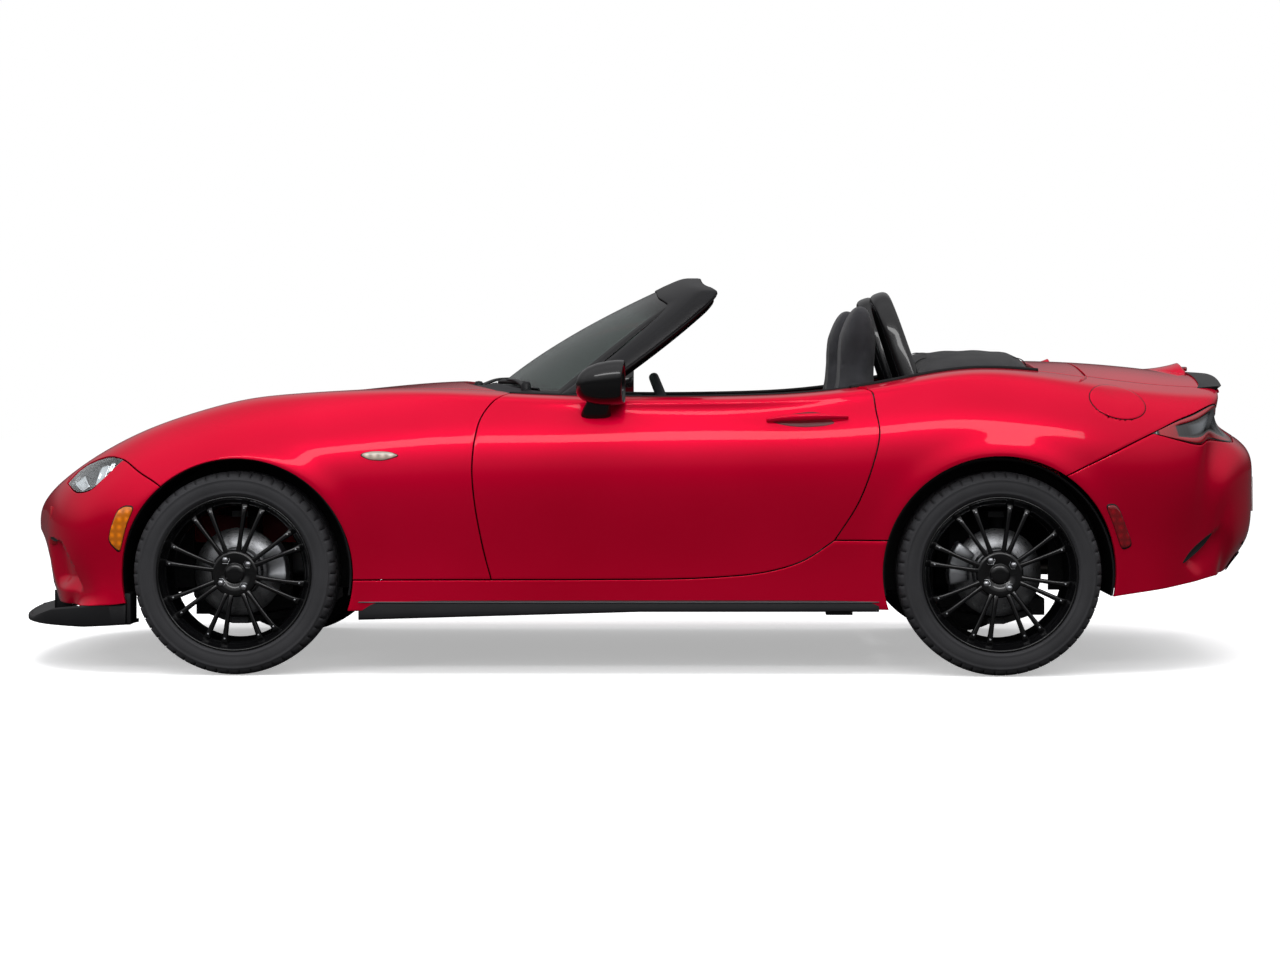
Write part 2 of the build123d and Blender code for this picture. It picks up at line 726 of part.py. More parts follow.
with BuildPart() as disc:
    with BuildSketch(Plane.XY.offset(-DISC_T - 5)):
        Circle(DISC_R)
        Circle(66, mode=Mode.SUBTRACT)
    extrude(amount=DISC_T)
    with BuildSketch(Plane.XY.offset(-5)):
        Circle(75)
        Circle(66, mode=Mode.SUBTRACT)
    extrude(amount=44)
    with BuildSketch(Plane.XY.offset(39)):
        Circle(75)
        Circle(STUB_R, mode=Mode.SUBTRACT)
    extrude(amount=6)

with BuildPart() as carrier:
    with BuildSketch(Plane.XY.offset(-95)):
        Circle(44)
    extrude(amount=95 + 30)
    with BuildSketch(Plane.XY.offset(30)):
        Circle(STUB_R - PIN_PLAY)
    extrude(amount=38)

with BuildPart() as caliper:
    with BuildSketch(Plane.XY.offset(-64)):
        with BuildLine():
            CenterArc((0, 0), 152, -27, 54)
            CenterArc((0, 0), 90, -27, 54)
            for a in (-27, 27):
                c, s = math.cos(math.radians(a)), math.sin(math.radians(a))
                Line((90 * c, 90 * s), (152 * c, 152 * s))
        make_face()
    extrude(amount=84)
    with BuildSketch(Plane.XY.offset(-33)):
        Circle(DISC_R + 6)
    extrude(amount=34, mode=Mode.SUBTRACT)
    with Locations((65, 0, -80)):
        Box(90, 60, 32)

for axle in ("front", "rear"):
    for side, sign in (("left", -1), ("right", 1)):
        tag = "_" + axle + "_" + side
        place = wheel_plane(axle, sign).location
        keep("tyre" + tag, tyre.moved(place))
        keep("rim" + tag, rim.part.moved(place))
        keep("disc" + tag, disc.part.moved(place))
        spin = -12 * sign if axle == "front" else 180 + 12 * sign
        grip = caliper.part.moved(Location((0, 0, 0), (0, 0, spin)))
        y_in, y_out = sorted((sign * (WHEEL_Y[axle] - 72), sign * (WHEEL_Y[axle] - 36)))
        gap = BALL_GAP if axle == "front" else 0
        up = block(
            AXLE_X[axle] - 40,
            AXLE_X[axle] + 40,
            y_in,
            y_out,
            ARM_LOW_Z + ARM_LOW_T + gap,
            ARM_HIGH_Z - gap,
        )
        bits = [carrier.part.moved(place), up, grip.moved(place)]
        if axle == "front":
            y = sign * KINGPIN_Y
            bits.append(rod((X_FRONT, y, BALL_LOW_Z), (X_FRONT, y, BALL_HIGH_Z), 9))
        keep("knuckle" + tag, fuse(bits))

# ---- running gear --------------------------------------------------------
def arm(axle, reach, base, z, t, spread):
    """Flat wishbone from the subframe out to the carrier's ball joint."""
    x = AXLE_X[axle]
    with BuildPart() as b:
        with BuildSketch(Plane.XY.offset(z)):
            with BuildLine():
                Polyline(
                    (x - spread, -base),
                    (x - 24, -reach),
                    (x + 24, -reach),
                    (x + spread, -base),
                    (x + spread - 45, -base),
                    (x, -reach + 90),
                    (x - spread + 45, -base),
                    (x - spread, -base),
                )
            make_face()
        extrude(amount=t)
    return b.part


gear = {}
for axle, base in (("front", 372), ("rear", 372)):
    x = AXLE_X[axle]
    reach = KINGPIN_Y + 13 if axle == "front" else WHEEL_Y["rear"] - 40
    low = arm(axle, reach, base, ARM_LOW_Z, ARM_LOW_T, 150)
    high = arm(axle, reach, base, ARM_HIGH_Z, ARM_HIGH_T, 120)
    y = DAMPER_Y[axle]
    damper = rod((x + 20, -y - 10, 165), (x + 20, -y + 5, 600), 24)
    frame_bar = block(x - 190, x + 190, -base - 2, base + 2, 148, 200)
    top = 492 if axle == "front" else 767
    post = block(x - 110, x + 110, -base - 2, -base + 50, 190, top)
    sides = [both_sides(s) for s in (low, high, damper, post)]
    gear[axle] = fuse([frame_bar, *sides])
rack = rod((X_FRONT - 160, -450, 222), (X_FRONT - 160, 450, 222), 26)
mount = block(X_FRONT + 70, X_FRONT + 150, -100, 100, 195, 250)
socket = (X_FRONT, -KINGPIN_Y)
sockets = rod((*socket, BALL_LOW_Z - 1), (*socket, BALL_HIGH_Z + 1), 9 + PIN_PLAY)
front_axle = cut(fuse([gear["front"], rack, mount]), [both_sides(sockets)])
keep("front_axle", front_axle)
diff = block(X_REAR - 140, X_REAR + 120, -110, 110, 200, 400, 25)
reach = WHEEL_Y["rear"] - 95
shafts = rod((X_REAR, -reach, TYRE_R), (X_REAR, reach, TYRE_R), 20)
keep("rear_axle", fuse([gear["rear"], diff, shafts]))

keep("engine", block(-1150, -560, -190, 190, 250, 740, 30))
with BuildPart() as exhaust:
    with BuildLine() as route:
        FilletPolyline(
            (-430, 0, 262), (835, 0, 262), (925, 215, 262), (1520, 215, 262), radius=60
        )
    with BuildSketch(Plane.YZ.offset(-430)):
        with Locations((0, 262)):
            Circle(26)
    sweep()
    add(block(1500, 1680, -320, 560, 225, 345, 35))
    add(block(1560, 1584, 90, 120, 340, 380))
    for y in TAILPIPE_Y:
        add(rod((1670, y, 292), (1930, y, 300), 30))
        add(rod((1850, y, 298), (1931, y, 300), 26), mode=Mode.SUBTRACT)
keep("exhaust", exhaust.part)

# ---- cabin ---------------------------------------------------------------
dash = [(-380, 560), (-380, 800), (-250, 838), (0, 838), (60, 800), (40, 700), (-60, 560)]
wheel_axis = Vector(math.cos(math.radians(22)), 0, math.sin(math.radians(22)))
hub = Vector(115, -370, 744)
column = [rod(hub - wheel_axis * 160, hub - wheel_axis * 7, 32)]
column.append(rod(hub - wheel_axis * 10, hub + wheel_axis * 19, 12))
keep("dashboard", fuse([common(side_prism(dash, -670, 670), inner), *column]))
console = [(-60, 420), (-60, 560), (120, 560), (200, 500), (640, 520), (700, 420)]
keep("centre_console", side_prism(console, -105, 105))
cushion = [(120, 225), (120, 390), (180, 405), (620, 330), (640, 225)]
back = [(560, 325), (640, 325), (715, 600), (752, 850), (745, 1000), (725, 1095)]
back += [(706, 1139), (672, 1120), (649, 1050), (652, 1002), (674, 907), (600, 640)]
back += [(535, 430)]
cushions, backs = [], []
for yc in (-370, 370):
    cushions.append(side_prism(cushion, yc - 235, yc + 235))
    backs.append(side_prism(back, yc - 225, yc + 225))
keep("seat_cushions", fuse(cushions))
keep("seat_backs", cut(fuse(backs), [PARTS["seat_cushions"]]))
with BuildPart() as steer:
    with BuildSketch(Plane(origin=hub, z_dir=wheel_axis)) as ring:
        Circle(184)
        Circle(156, mode=Mode.SUBTRACT)
        Circle(62)
        for spoke_angle in (0, 90, 180):
            with Locations(Rotation(0, 0, spoke_angle) * Location((110, 0))):
                Rectangle(110, 34)
    extrude(amount=26)
    add(rod(hub, hub + wheel_axis * 20, 12 + PIN_PLAY), mode=Mode.SUBTRACT)
keep("steering_wheel", steer.part)

# ---- mirrors and trim ----------------------------------------------------
for side, sign in (("left", -1), ("right", 1)):
    head = block(-169, -30, 838, MIRROR_Y, 809, 950, 34)
    foot = side_prism([(-177, 770), (-70, 764), (-60, 830), (-150, 830)], 780, 880)
    shape = cut(fuse([head, foot]), [outer])
    if sign < 0:
        shape = mirror(shape, about=Plane.XZ)
    keep("mirror_" + side, shape)
lip = side_prism([(1755, 868), (1762, 906), (1850, 903), (1838, 850)], -450, 450)
lip = common(lip, plan_prism([(1700, -500), (1700, 500), (1850, 430), (1850, -430)], 800, 950))
keep("boot_spoiler", cut(lip, [outer]))

os.makedirs("parts", exist_ok=True)
for name, shape in PARTS.items():
    export_step(shape, "parts/" + name + ".step")
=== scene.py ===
# %% [markdown]
# # Dressing a two-seat roadster
# The construction of this car is already fixed: its floor, axles, joints and every
# piece's place come from the frame. What is left is what the eye sees: painted sheet
# metal, glass, rubber, cloth and cast wheels. Each step first says what the real piece
# is, then how it could be made in Blender, and why one way was taken.

# %% Load the fixed frame
import math

import bmesh
import bpy
import numpy as np
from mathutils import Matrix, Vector


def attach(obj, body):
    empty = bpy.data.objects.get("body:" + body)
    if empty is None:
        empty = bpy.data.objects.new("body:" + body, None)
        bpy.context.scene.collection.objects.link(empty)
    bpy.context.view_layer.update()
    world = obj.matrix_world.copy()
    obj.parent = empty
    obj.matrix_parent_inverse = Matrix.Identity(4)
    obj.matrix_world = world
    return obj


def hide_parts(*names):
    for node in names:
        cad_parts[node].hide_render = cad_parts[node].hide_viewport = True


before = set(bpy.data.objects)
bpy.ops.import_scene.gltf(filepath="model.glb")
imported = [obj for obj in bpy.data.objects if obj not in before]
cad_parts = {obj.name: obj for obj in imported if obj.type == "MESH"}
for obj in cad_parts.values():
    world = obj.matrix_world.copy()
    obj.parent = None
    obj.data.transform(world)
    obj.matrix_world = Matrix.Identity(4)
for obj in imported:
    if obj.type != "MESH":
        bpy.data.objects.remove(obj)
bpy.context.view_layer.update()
MM = 0.001

# %% [markdown]
# ## Meshes from whole arrays
# Every new piece is a grid of points worked out by numpy in one go. A grid is a function
# of two parameters, so its faces need no list: they follow from the grid's size. Looping
# over vertices in Python would be slower and harder to read, so the helpers below take
# and return whole arrays. Points are in metres, in the car's own frame: +X to the rear,
# +Z up, the left side at -Y.


# %% Grid and mesh helpers
def grid_faces(rows, cols, wrap_rows=False, wrap_cols=False, start=0):
    """Quads of a rows x cols grid of points stored row by row, closed round where asked."""
    r = np.arange(rows if wrap_rows else rows - 1)
    c = np.arange(cols if wrap_cols else cols - 1)
    r, c = np.meshgrid(r, c, indexing="ij")
    r2, c2 = (r + 1) % rows, (c + 1) % cols
    quads = np.stack([r * cols + c, r * cols + c2, r2 * cols + c2, r2 * cols + c], -1)
    return quads.reshape(-1, 4) + start


def unit(v):
    """Vectors scaled to length one."""
    return v / np.maximum(np.linalg.norm(v, axis=-1, keepdims=True), 1e-12)


def mesh_piece(name, points, faces, material, uv=None, smooth=True):
    """A mesh object at the origin, from points (n, 3) and a list of face arrays."""
    faces = faces if isinstance(faces, list) else [faces]
    mesh = bpy.data.meshes.new(name)
    points = np.ascontiguousarray(points, np.float64).reshape(-1, 3)
    corners = np.concatenate([f.reshape(-1) for f in faces]).astype(np.int32)
    sizes = np.concatenate([np.full(len(f), f.shape[1]) for f in faces])
    starts = np.concatenate([[0], np.cumsum(sizes)[:-1]]).astype(np.int32)
    mesh.vertices.add(len(points))
    mesh.vertices.foreach_set("co", points.astype(np.float32).reshape(-1))
    mesh.loops.add(len(corners))
    mesh.loops.foreach_set("vertex_index", corners)
    mesh.polygons.add(len(sizes))
    mesh.polygons.foreach_set("loop_start", starts)
    mesh.update(calc_edges=True)
    if uv is not None:
        layer = mesh.uv_layers.new(name="UVMap")
        layer.data.foreach_set("uv", uv.reshape(-1, 2)[corners].astype(np.float32).reshape(-1))
    mesh.polygons.foreach_set("use_smooth", np.full(len(sizes), smooth))
    if material:
        mesh.materials.append(material)
    piece = bpy.data.objects.new(name, mesh)
    bpy.context.scene.collection.objects.link(piece)
    return piece


def weld(piece, distance=0.0002, outward=True):
    """Merges points that coincide, then turns the faces outwards."""
    work = bmesh.new()
    work.from_mesh(piece.data)
    bmesh.ops.remove_doubles(work, verts=work.verts, dist=distance)
    if outward:
        bmesh.ops.recalc_face_normals(work, faces=work.faces)
    work.to_mesh(piece.data)
    work.free()
    return piece


def place(piece, body, slot, *nodes):
    """Lets a piece ride on a body and hides the nodes it stands for; slot, its finish's name,
    is not used.
    """
    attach(piece, body)
    if nodes:
        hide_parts(*nodes)
    return piece


# %% [markdown]
# ## Finishes
# A material is a small graph of nodes ending in the Principled shader. One function adds
# a node, sets its inputs and links it, so a finish reads like a recipe. Colours are
# written as sRGB hex, the way a paint chip is, and turned linear once, because the
# shader works in linear light.


# %% Colour and node helpers
def linear(hex_colour):
    """An sRGB colour such as 'B4121E' as linear RGBA."""
    c = np.array([int(hex_colour[i : i + 2], 16) for i in (0, 2, 4)]) / 255
    c = np.where(c <= 0.04045, c / 12.92, ((c + 0.055) / 1.055) ** 2.4)
    return (*c.tolist(), 1.0)


def add(tree, kind, **settings):
    """Adds a node; a setting is a property, or an input given a value or a linked socket."""
    node = tree.nodes.new(kind)
    for key, value in settings.items():
        if hasattr(node, key) and not key.startswith("in_"):
            setattr(node, key, value)
            continue
        name = key[3:].replace("_", " ") if key.startswith("in_") else key
        socket = node.inputs[int(name)] if name.isdigit() else node.inputs[name]
        if isinstance(value, bpy.types.NodeSocket):
            tree.links.new(value, socket)
        else:
            socket.default_value = value
    return node


def finish(name, colour, metallic=0.0, roughness=0.5, **more):
    """A material with one Principled shader; returns it with its tree and shader."""
    material = bpy.data.materials.new(name)
    material.use_nodes = True
    tree = material.node_tree
    shader = tree.nodes["Principled BSDF"]
    shader.inputs["Base Color"].default_value = linear(colour)
    shader.inputs["Metallic"].default_value = metallic
    shader.inputs["Roughness"].default_value = roughness
    for key, value in more.items():
        shader.inputs[key.replace("_", " ")].default_value = value
    return material, tree, shader


def object_noise(tree, scale, detail=2.0, rough=0.5):
    """Noise on Object coordinates; scale is in cells per metre."""
    place_at = add(tree, "ShaderNodeTexCoord")
    return add(tree, "ShaderNodeTexNoise", in_Vector=place_at.outputs["Object"],
               in_Scale=scale, in_Detail=detail, in_Roughness=rough)


def ramp(tree, factor, low, high, a, b):
    """Maps a factor from low..high to a..b."""
    return add(tree, "ShaderNodeMapRange", in_0=factor, in_1=low, in_2=high, in_3=a, in_4=b)


def mix(tree, factor, a, b):
    """Mixes two colours by a factor."""
    node = add(tree, "ShaderNodeMix", data_type="RGBA")
    for index, value in ((0, factor), (6, a), (7, b)):
        if isinstance(value, bpy.types.NodeSocket):
            tree.links.new(value, node.inputs[index])
        else:
            node.inputs[index].default_value = value
    return node.outputs[2]


def bump(tree, shader, height, distance, strength=1.0):
    """Links a height to the shader's normal; distance is the relief in metres."""
    node = add(tree, "ShaderNodeBump", in_Height=height, in_Distance=distance,
               in_Strength=strength)
    tree.links.new(node.outputs["Normal"], shader.inputs["Normal"])
    return node


# %% [markdown]
# ### Car paint
# Metallic red car paint is a tinted base full of aluminium flake under a clear lacquer.
# The flake reflects in the paint's own red, so the panel darkens away from the light; the
# lacquer gives one sharp reflection on top. The Principled shader's coat is that
# lacquer, and a very fine noise tilts the base a little, as flake does. Real flake is
# 0.02 mm across, too fine to show, so it is drawn at about 0.6 mm.


# %% Paint
def car_paint():
    material, tree, shader = finish("metallic_red_paint", "CA002C", metallic=0.5,
                                    roughness=0.32, Coat_Weight=1.0, Coat_Roughness=0.02,
                                    Coat_IOR=1.24, Specular_IOR_Level=0.0)
    flake = object_noise(tree, 1600.0, detail=1.0)
    broad = object_noise(tree, 2.2, detail=2.0)
    tone = ramp(tree, broad.outputs[0], 0.3, 0.7, 0.0, 1.0)
    colour = mix(tree, tone.outputs[0], linear("C8002B"), linear("D20230"))
    tree.links.new(colour, shader.inputs["Base Color"])
    bump(tree, shader, flake.outputs[0], 0.00003, 0.3)
    return material


PAINT = car_paint()

# %% [markdown]
# ## The body's surface
# A car body is designed as one smooth skin, and the panels are cut from it afterwards, so
# that highlights run on across the shut lines. The same order is followed here: one
# surface S(u, v) is a uniform cubic B-spline over a net of points. Its ribs go round the
# car from the bottom edge (v = 0) over the shoulder to the centre line (v = 8). Amidships
# a rib is a flat cross-section; towards the nose and tail the ribs fan out, their middle
# running ahead of their sides, and at last they turn down over the front and rear faces.
# A B-spline is smoother than its net, so the net is nudged a few times until the surface
# comes near to the points of the table.

# %% Ribs of the body, in millimetres
# x at the side, x at the middle, bottom edge (z, y), widest point (y, z),
# crest of the shoulder (y, z), height on the centre line
RIBS = np.array([
    (-1700, -1886, 205, 735, 650, 203, 350, 201, 200),
    (-1672, -1925, 206, 765, 700, 268, 380, 308, 310),
    (-1640, -1948, 208, 785, 750, 335, 400, 418, 425),
    (-1608, -1926, 210, 800, 785, 400, 440, 516, 497),
    (-1568, -1835, 214, 811, 812, 440, 520, 592, 564),
    (-1520, -1700, 218, 820, 833, 478, 575, 667, 646),
    (-1440, -1540, 205, 828, 846, 515, 600, 738, 714),
    (-1330, -1370, 196, 833, 857, 545, 610, 793, 766),
    (-1200, -1200, 190, 838, 865, 565, 615, 834, 812),
    (-1050, -1050, 190, 836, 862, 565, 635, 850, 842),
    (-880, -880, 190, 832, 857, 560, 660, 859, 862),
    (-600, -600, 192, 822, 846, 560, 705, 860, 886),
    (-300, -300, 194, 815, 841, 560, 735, 845, 880),
    (0, 0, 195, 811, 840, 560, 755, 838, 862),
    (280, 280, 196, 812, 843, 565, 762, 840, 862),
    (520, 520, 196, 818, 850, 575, 760, 850, 874),
    (740, 740, 198, 828, 859, 588, 752, 877, 905),
    (930, 930, 202, 836, 866, 600, 735, 911, 940),
    (1098, 1098, 206, 838, 868, 605, 712, 922, 953),
    (1280, 1280, 220, 832, 862, 602, 690, 905, 953),
    (1430, 1450, 238, 812, 842, 598, 660, 882, 946),
    (1560, 1630, 254, 776, 808, 593, 622, 864, 930),
    (1625, 1765, 263, 746, 778, 583, 590, 856, 914),
    (1660, 1838, 269, 724, 755, 570, 565, 846, 904),
    (1690, 1828, 274, 705, 735, 555, 548, 800, 846),
    (1718, 1852, 279, 686, 712, 540, 520, 728, 760),
    (1742, 1954, 284, 664, 690, 522, 488, 662, 684),
    (1768, 1964, 289, 642, 662, 484, 470, 545, 552),
    (1785, 1950, 292, 622, 632, 405, 452, 405, 400),
    (1795, 1878, 294, 600, 560, 297, 345, 303, 306),
], float)
FAN = np.array([0, 0.06, 0.18, 0.36, 0.58, 0.78, 0.92, 0.98, 1.0])
TUCK = 6.0
NET_ROUNDS = 4
NEWTON_STEPS = 12


# %% The net and its surface
def rib_points():
    """Nine points a rib: bottom edge, flank, widest point, a quarter of a rounded corner
    up to the crest, then a shallow parabola in to the centre line."""
    xs, xm, zl, yl, yw, zw, yc, zc, zm = (column[:, None] for column in RIBS.T)
    x = xs + (xm - xs) * FAN
    turn = np.radians([[32.0, 62.0]])
    flank = (zw - zl) / np.maximum(zw - zl, 1.0)
    y = np.hstack([yl, 0.5 * (yl + yw) - TUCK * flank, yw,
                   yc + (yw - yc) * np.cos(turn) ** 0.85, yc, 0.64 * yc, 0.30 * yc, 0 * yc])
    z = np.hstack([zl, zl + 0.46 * (zw - zl), zw,
                   zw + (zc - zw) * np.sin(turn) ** 0.95, zc,
                   zm + 0.41 * (zc - zm), zm + 0.09 * (zc - zm), zm])
    return np.stack([x, y, z], -1) * MM


def padded_net(net):
    """The net with one more row on each side: straight on at the edges, mirrored at v = 8."""
    net = np.concatenate([2 * net[:1] - net[1:2], net, 2 * net[-1:] - net[-2:-1]], 0)
    mirror = net[:, -2:-1] * (1, -1, 1)
    return np.concatenate([2 * net[:, :1] - net[:, 1:2], net, mirror], 1)


def blend_weights(t, count):
    """Start index and the four cubic B-spline weights at t, for a padded row of points."""
    i = np.clip(np.floor(t).astype(int), 0, count - 2)
    f = t - i
    w = np.stack([(1 - f) ** 3, 3 * f**3 - 6 * f**2 + 4, -3 * f**3 + 3 * f**2 + 3 * f + 1,
                  f**3], -1) / 6
    return i, w


def fit_net(targets):
    """Moves the net by what the surface misses at its own parameters, a few times over."""
    net = targets.copy()
    for _ in range(NET_ROUNDS):
        p = padded_net(net)
        rows = (p[:-2] + 4 * p[1:-1] + p[2:]) / 6
        net = net + targets - (rows[:, :-2] + 4 * rows[:, 1:-1] + rows[:, 2:]) / 6
    return net


NET = padded_net(fit_net(rib_points()))
U_MAX, V_MAX = float(len(RIBS) - 1), 8.0
ARCH = {"front": (-1.203, 0.305, 0.352), "rear": (1.0985, 0.312, 0.353)}
LIP_FLARE, LIP_REACH = 0.006, 0.045


def body(uv):
    """Points of the left-hand body skin (y < 0) at parameters (..., 2), in metres."""
    u, v = uv[..., 0], uv[..., 1]
    iu, wu = blend_weights(np.clip(u, 0, U_MAX), len(RIBS))
    iv, wv = blend_weights(np.clip(v, 0, V_MAX), 9)
    p = np.zeros(u.shape + (3,))
    for a in range(4):
        for b in range(4):
            p += NET[iu + a, iv + b] * (wu[..., a] * wv[..., b])[..., None]
    for cx, cz, radius in ARCH.values():
        away = np.hypot(p[..., 0] - cx, p[..., 2] - cz) - radius
        side = np.clip((p[..., 1] - 0.55) / 0.2, 0, 1)
        p[..., 1] += LIP_FLARE * side * np.exp(-((away / LIP_REACH) ** 2))
    return p * (1, -1, 1)


def normal(uv, step=0.01):
    """Outward unit normals, from differences of the surface along u and v."""
    du = body(uv + (step, 0)) - body(uv - (step, 0))
    dv = body(uv + (0, step)) - body(uv - (0, step))
    return unit(np.cross(du, dv))


COARSE = np.stack(np.meshgrid(np.linspace(0, U_MAX, 291), np.linspace(0, V_MAX, 97),
                              indexing="ij"), -1).reshape(-1, 2)
COARSE_POINTS = body(COARSE)


def locate(points, axes, keep):
    """Parameters where the skin meets points given by two coordinates: nearest coarse
    sample first, out of those to keep, then Newton's steps on the two chosen axes."""
    points = np.asarray(points, float) * MM
    axes = list(axes)
    near = COARSE_POINTS[keep][:, axes]
    best = np.argmin(((points[:, None] - near[None]) ** 2).sum(-1), 1)
    uv = COARSE[keep][best].copy()
    step = 1e-3
    for _ in range(NEWTON_STEPS):
        at = body(uv)[:, axes]
        du = (body(uv + (step, 0))[:, axes] - body(uv - (step, 0))[:, axes]) / (2 * step)
        dv = (body(uv + (0, step))[:, axes] - body(uv - (0, step))[:, axes]) / (2 * step)
        det = du[:, 0] * dv[:, 1] - du[:, 1] * dv[:, 0]
        det = np.where(np.abs(det) < 1e-9, 1e-9, det)
        miss = points - at
        move = np.stack([miss[:, 0] * dv[:, 1] - miss[:, 1] * dv[:, 0],
                         du[:, 0] * miss[:, 1] - du[:, 1] * miss[:, 0]], -1) / det[:, None]
        uv = np.clip(uv + np.clip(move, -0.4, 0.4), 0, (U_MAX, V_MAX))
    return uv


print("skin at the front axle", np.round(body(np.array([[8.0, 4.0], [8.0, 8.0]])), 3))

# %% [markdown]
# ## Lines on the body and panels between them
# A shut line is drawn where a designer draws it: in side view, in plan, or from in front
# or behind. Each of its few points is looked up on the skin, and a smooth line joins them
# in (u, v). Four such lines bound a patch, and a Coons patch fills them: it adds the
# blends between opposite sides and takes away the blend of the corners. Because every
# point is then read from the same skin, panels agree across their gaps.

# %% Lines on the skin
GAP = 0.0045
VIEWS = {"side": ((0, 2), lambda uv: uv[:, 1] <= 5.0),
         "plan": ((0, 1), lambda uv: (uv[:, 1] >= 4.0) & (uv[:, 0] > 2.6) & (uv[:, 0] < 23.6)),
         "front": ((1, 2), lambda uv: uv[:, 0] <= 4.2),
         "back": ((1, 2), lambda uv: uv[:, 0] >= 23.0)}


def on_skin(points):
    """Parameters of points given as (view, a, b) in mm, or ("uv", u, v)."""
    out = np.zeros((len(points), 2))
    kinds = np.array([p[0] for p in points])
    values = np.array([p[1:] for p in points], float)
    for kind, (axes, inside) in VIEWS.items():
        pick = kinds == kind
        if pick.any():
            out[pick] = locate(values[pick], axes, inside(COARSE))
    out[kinds == "uv"] = values[kinds == "uv"]
    return out


def smooth_line(points, count):
    """A cubic through the points (Hermite, slopes from the neighbours), evenly resampled."""
    points = np.asarray(points, float)
    if len(points) == 2:
        return points[0] + (points[1] - points[0]) * np.linspace(0, 1, count)[:, None]
    chord = np.linalg.norm(np.diff(points, axis=0), axis=1)
    t = np.concatenate([[0], np.cumsum(np.maximum(chord, 1e-9))])
    slope = np.gradient(points, t, axis=0)
    fine = np.linspace(0, t[-1], 16 * len(points) + 1)
    k = np.clip(np.searchsorted(t, fine, side="right") - 1, 0, len(t) - 2)
    h = (t[k + 1] - t[k])[:, None]
    s = ((fine - t[k])[:, None]) / h
    line = ((2 * s**3 - 3 * s**2 + 1) * points[k] + (s**3 - 2 * s**2 + s) * h * slope[k]
            + (3 * s**2 - 2 * s**3) * points[k + 1] + (s**3 - s**2) * h * slope[k + 1])
    return evenly(line, count, line)


def evenly(line, count, measure):
    """Resamples a line so that its samples are evenly spaced along another measure of it."""
    run = np.concatenate([[0], np.cumsum(np.linalg.norm(np.diff(measure, axis=0), axis=1))])
    run = run + np.linspace(0, 1e-9, len(run))
    at = np.linspace(0, run[-1], count)
    return np.stack([np.interp(at, run, line[:, i]) for i in range(line.shape[1])], -1)


def line(points, count):
    """A smooth line on the skin through points, with evenly spaced samples, as (u, v)."""
    uv = smooth_line(on_skin(points), 16 * max(count, 12))
    return evenly(uv, count, body(uv))


def centre_line(start, end, samples, count):
    """The middle line of the skin between two values of u, evenly spaced."""
    uv = np.stack([np.linspace(start, end, samples), np.full(samples, V_MAX)], -1)
    return evenly(uv, count, body(uv))


def join(*parts):
    """Lines laid end to end, each shared point once."""
    return np.concatenate([parts[0]] + [p[1:] for p in parts[1:]])


def arch(which, start, end, count):
    """The wheel arch from one angle to another, in degrees from the rear, upwards."""
    cx, cz, radius = ARCH[which]
    a = np.radians(np.linspace(start, end, count))
    points = [("side", (cx + radius * math.cos(t)) * 1000, (cz + radius * math.sin(t)) * 1000)
              for t in a]
    return on_skin(points)


def coons(bottom, top, left, right):
    """A grid (rows, cols, 2) between four lines: bottom and top along, left and right up."""
    s = np.linspace(0, 1, len(bottom))[None, :, None]
    t = np.linspace(0, 1, len(left))[:, None, None]
    across = (1 - t) * bottom[None] + t * top[None]
    along = (1 - s) * left[:, None] + s * right[:, None]
    corners = ((1 - s) * (1 - t) * bottom[0] + s * (1 - t) * bottom[-1]
               + (1 - s) * t * top[0] + s * t * top[-1])
    return across + along - corners


def pull_in(uv, gap, edge, first=0):
    """Moves one edge of a grid inwards by a real distance measured square to that edge,
    from its sample number first on."""
    turned = {"bottom": uv, "top": uv[::-1], "left": uv.swapaxes(0, 1),
              "right": uv.swapaxes(0, 1)[::-1]}[edge]
    p = body(turned[:2])
    along = unit(np.gradient(p[0], axis=0))
    inward = p[1] - p[0]
    square = inward - (inward * along).sum(-1, keepdims=True) * along
    share = gap / np.maximum(np.linalg.norm(square, axis=-1, keepdims=True), gap * 1.2)
    turned[0, first:] += (share * (turned[1] - turned[0]))[first:]
    return uv


def patch(bottom, top, left, right, gaps="bottom top left right"):
    """A Coons patch whose named edges stand back by half a shut line; "top:22" starts the
    gap along the top at sample 22."""
    uv = coons(bottom, top, left, right)
    for item in gaps.split():
        edge, _, first = item.partition(":")
        uv = pull_in(uv, GAP / 2, edge, int(first or 0))
    return uv


# %% [markdown]
# Sheet metal is thin, but its rim is folded over, and a shut line looks dark because two
# such rims face each other. Solidify gives each skin a rim of that depth and Bevel rolls
# its corner, which catches the fine light line that tells the eye the panels are separate.


# %% Panels
def turn_of(p):
    """+1 where a grid's quads face outwards, -1 where they face the middle of the car."""
    i, j = p.shape[0] // 2, p.shape[1] // 2
    across = np.cross(p[i, j + 1] - p[i, j], p[i + 1, j] - p[i, j])
    middle = p[i, j] - (0.0, 0.0, 0.45)
    middle[0] *= 0.4
    return 1 if np.dot(across, middle) > 0 else -1


